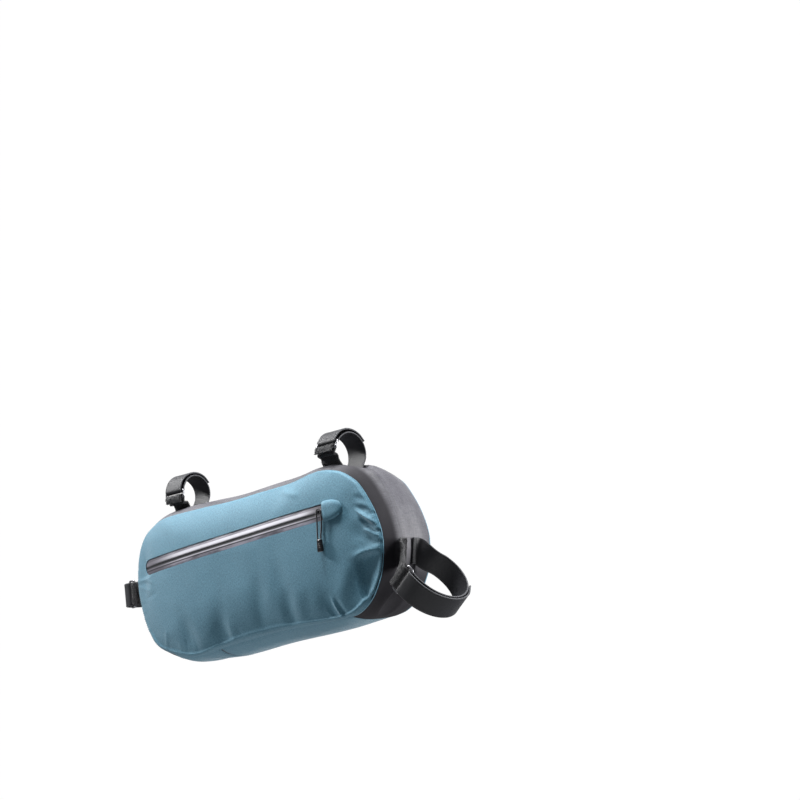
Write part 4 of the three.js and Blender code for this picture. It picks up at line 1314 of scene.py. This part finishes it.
# %% Strap finishes
def band_face():
    """Smooth woven back of the hook tape, with a raised selvage that is paler by a painted highlight."""
    band_cloth = Finish("strap_band", Specular_IOR_Level=0.32)
    rib = band_cloth.wave(band_cloth.u, 0.9) * 0.5 + 0.5
    fleck = band_cloth.noise((0.5, 2.0, 1), 2.0)
    edge = band_cloth.v.size().clipped(11.5, 12.2)
    colour = band_cloth.mix(fleck, (0.010, 0.010, 0.012), (0.026, 0.027, 0.031))
    # The paler edges are a painted highlight along the raised selvage.
    band_cloth.feed("Base Color", band_cloth.mix(edge * 0.6, colour, (0.07, 0.072, 0.08)))
    band_cloth.feed("Roughness", 0.42 + fleck * 0.22)
    band_cloth.bump(rib * 0.5 + fleck * 0.5 + edge * 1.5, 0.00018)
    return band_cloth


def pile():
    """Loop pile: almost black, with no gloss of its own."""
    loops = Finish("strap_pile", Specular_IOR_Level=0.15, Sheen_Weight=0.2, Sheen_Roughness=0.6)
    tuft = loops.noise((1.1, 1.1, 1), 4.0, 0.7)
    shade = tuft.clipped(0.35, 0.65)
    loops.feed("Base Color", loops.mix(shade, (0.004, 0.004, 0.005), (0.030, 0.030, 0.034)))
    loops.feed("Roughness", 0.85 + tuft * 0.1)
    loops.bump(tuft, 0.0012)
    return loops


def wire():
    """Scuffed steel of the rings."""
    metal = Finish("ring_wire", Metallic=0.9, Specular_IOR_Level=0.5)
    scuff = metal.noise((400, 400, 400), 3.0, where=metal.object)
    metal.feed("Base Color", metal.mix(scuff, (0.16, 0.16, 0.17), (0.34, 0.34, 0.36)))
    metal.feed("Roughness", 0.2 + scuff * 0.18)
    metal.bump(scuff, 0.00003)
    return metal


FINISHES["band"] = band_face()
FINISHES["pile"] = pile()
FINISHES["wire"] = wire()
print("strap finishes: band, pile, wire")

# %% Rings
def ring_piece(name, loop):
    """A round wire bent to a flat rectangle with round corners."""
    low = loop.at(loop.ring, BAND_TURN, -RING_SPAN)
    high = loop.at(loop.ring, BAND_TURN, 0)
    tall = unit(high - low)
    wide = STRAP_WIDTH / 2 + 0.6 + RING_WIRE / 2
    half = RING_SPAN / 2
    corner = 1.7
    turn = np.linspace(0, math.pi / 2, 7)
    corners = []
    for start, sx, sy in ((0, 1, 1), (1, -1, 1), (2, -1, -1), (3, 1, -1)):
        angle = turn + start * math.pi / 2
        cx, cy = sx * (wide - corner), sy * (half - corner)
        corners.append(np.stack([cx + corner * np.cos(angle), cy + corner * np.sin(angle)], -1))
    flat = np.concatenate(corners)
    path = (low + high) / 2 + flat[:, :1] * loop.axis + flat[:, 1:] * tall
    path = np.vstack([path, path[:1]])
    heading = unit(np.roll(path, -1, 0) - np.roll(path, 1, 0))
    heading[0] = heading[-1] = unit(path[1] - path[-2])
    face = np.cross(loop.axis, tall)
    spin = np.linspace(0, 2 * math.pi, 12, endpoint=False)
    out = np.cross(heading, face)
    radius = RING_WIRE / 2
    rings = path[:, None] + radius * (
        np.cos(spin)[None, :, None] * out[:, None] + np.sin(spin)[None, :, None] * face
    )
    uv = np.stack([np.arange(len(path))[:, None] + 0 * spin, spin + 0 * path[:, :1]], -1)
    piece = sections_mesh(name, rings, uv, caps=False)
    merge_doubles(piece)
    return normals_out(piece)


# %% Pile of small loops
def pile_group():
    """Small upright loops scattered over a surface, as on the soft side of hook-and-loop tape."""
    group, given = start_group("pile", {
        "Density": "NodeSocketFloat",
        "Loop Radius": "NodeSocketFloat",
        "Yarn Radius": "NodeSocketFloat",
        "Seed": "NodeSocketInt",
        "Material": "NodeSocketMaterial",
    })
    scatter = {"Mesh": given["Geometry"], "Density": given["Density"], "Seed": given["Seed"]}
    places = node(group, "GeometryNodeDistributePointsOnFaces", values=scatter)
    upright = Wire(group, places.socket.node.outputs["Rotation"])
    sweep = {"Resolution": 6, "Radius": given["Loop Radius"], "Sweep Angle": math.radians(230)}
    arc = node(group, "GeometryNodeCurveArc", values={**sweep, "Start Angle": math.radians(-25)})
    thin = {"Resolution": 3, "Radius": given["Yarn Radius"]}
    yarn = node(group, "GeometryNodeCurvePrimitiveCircle", values=thin)
    loop = node(group, "GeometryNodeCurveToMesh", values={"Curve": arc, "Profile Curve": yarn})
    standing = node(group, "GeometryNodeTransform", values={0: loop, "Rotation": (math.pi / 2, 0, 0)})
    lean = node(
        group,
        "FunctionNodeRandomValue",
        {"data_type": "FLOAT_VECTOR"},
        {0: (-0.7, -0.7, 0), 1: (0.7, 0.7, 2 * math.pi), "Seed": given["Seed"]},
    )
    turned = node(
        group,
        "FunctionNodeRotateRotation",
        {"rotation_space": "LOCAL"},
        {"Rotation": upright, "Rotate By": lean},
    )
    size = node(group, "FunctionNodeRandomValue", values={2: 0.6, 3: 1.3, "Seed": given["Seed"]}, output=1)
    tufts = node(
        group,
        "GeometryNodeInstanceOnPoints",
        values={"Points": places, "Instance": standing, "Rotation": turned, "Scale": size},
    )
    end_group(group, tufts, given["Material"])
    return group


PILE = pile_group()
print("node group:", PILE.name)


def fuzz(name, webbing, seed):
    """Grows pile on a copy of a webbing; the webbing itself stays as it is."""
    base = bpy.data.objects.new(name, webbing.data.copy())
    bpy.context.scene.collection.objects.link(base)
    sizes = {"Density": 6.0e5, "Loop Radius": 0.00055, "Yarn Radius": 0.00013, "Seed": seed}
    return wear(grow(base, PILE, "pile_yarn", **sizes), "pile_yarn", slot="strap_pile")


def across_row(path, step, thick, half, towards):
    """A row of stitches across a strap at one of its stations, on the side that faces towards."""
    line, across, face = (part[step] for part in path)
    face = face if face @ (towards - line) > 0 else -face
    side = np.linspace(-half, half, 12)[:, None]
    return line + across * side + face * (thick / 2 + 0.1), np.repeat(face[None], 12, 0)


# %% Make the straps
STITCHED_STATIONS = (2, 12)
webbings = {}
FINISHES["pile_yarn"] = thread_finish("pile_yarn", (0.004, 0.004, 0.005), (0.035, 0.036, 0.040))
for seed, name in enumerate(STRAPS):
    loop = Loop(name)
    first, _ = loop.run(-loop.foot)
    path = stations(loop.webbing_points(), first, loop.axis, 0.5)
    webbings[name] = ribbon(f"{name}_webbing", path, STRAP_WIDTH - 1, WEBBING - 0.5)
    wear(webbings[name], "pile", f"strap_{name}_webbing", slot="strap_pile")
    fuzz(f"{name}_pile", webbings[name], seed)
    rows = [across_row(path, k, WEBBING, 10.5, loop.centre) for k in STITCHED_STATIONS]
    first, _ = loop.run(loop.foot)
    path = stations(loop.band_path(), first, loop.axis, 0.15)
    piece = ribbon(f"{name}_band", path, STRAP_WIDTH, BAND - 0.3, edge=0.12)
    wear(piece, "band", f"strap_{name}_band", slot="strap_face")
    rows += [across_row(path, k, BAND - 0.3, 11, loop.centre) for k in STITCHED_STATIONS]
    stitches(f"{name}_stitches", rows, "black_thread", "strap_face", 2.2, 1.7, 0.5)
    ring = ring_piece(f"{name}_ring", loop)
    wear(ring, "wire", f"strap_{name}_ring", slot="ring_metal")
print("straps:", ", ".join(webbings))

# %% [markdown]
# ## Backdrop and light
#
# The bag hangs, so it needs no floor. A bright sheet far behind it gives the white ground of
# the photograph without lighting the bag's front. A wide light overhead makes the cloth pale
# along its top. A small one on the left rakes across the near panel and gives its folds their
# dark sides. A tall one beyond the front end is mirrored by the satin gusset, and a faint one
# from below keeps the underside from going black.

# %% Backdrop
sheet_mesh = bpy.data.meshes.new("backdrop")
sheet_middle = Vector((0, 0, -0.05)) - 8 * back
sheet_corners = [sheet_middle + 4 * (a * right + b * up) for a, b in ((-1, -1), (1, -1), (1, 1), (-1, 1))]
sheet_mesh.from_pydata(sheet_corners, [], [(0, 1, 2, 3)])
sheet = bpy.data.objects.new("backdrop", sheet_mesh)
bpy.context.scene.collection.objects.link(sheet)
sheet_finish = bpy.data.materials.new("backdrop")
sheet_finish.use_nodes = True
sheet_shader = sheet_finish.node_tree.nodes["Principled BSDF"]
sheet_shader.inputs["Base Color"].default_value = (0, 0, 0, 1)
sheet_shader.inputs["Emission Color"].default_value = (1, 1, 1, 1)
sheet_shader.inputs["Emission Strength"].default_value = 1.0
sheet_mesh.materials.append(sheet_finish)
print("backdrop:", sheet.name)

# %% Lights
def area_light(name, place_at, target, size, power):
    """A rectangular light at a place, turned to its target; sizes in m, power in W."""
    data = bpy.data.lights.new(name, "AREA")
    data.shape = "RECTANGLE"
    data.size, data.size_y = size
    data.energy = power
    light = bpy.data.objects.new(name, data)
    bpy.context.scene.collection.objects.link(light)
    aim = Vector(target) - Vector(place_at)
    light.matrix_world = Matrix.Translation(place_at) @ aim.to_track_quat("-Z", "Y").to_matrix().to_4x4()
    return light


area_light("overhead", (-0.5, -0.3, 2.2), (0, 0, -0.05), (0.9, 0.7), 130)
area_light("from_left", (-1.9, -0.8, 1.0), (0, 0, -0.05), (0.35, 0.35), 80)
area_light("gusset_strip", (1.35, 1.0, 0.45), (0.17, 0, -0.05), (0.5, 1.5), 64)
area_light("from_below", (-0.2, -0.25, -1.7), (0, 0, -0.1), (1.2, 0.8), 15)
world = bpy.data.worlds.new("world")
bpy.context.scene.world = world
world.use_nodes = True
world.node_tree.nodes["Background"].inputs["Color"].default_value = (0.94, 0.96, 1.0, 1)
world.node_tree.nodes["Background"].inputs["Strength"].default_value = 0.24
bpy.context.scene.view_settings.view_transform = "Standard"
print("lights and backdrop are in")
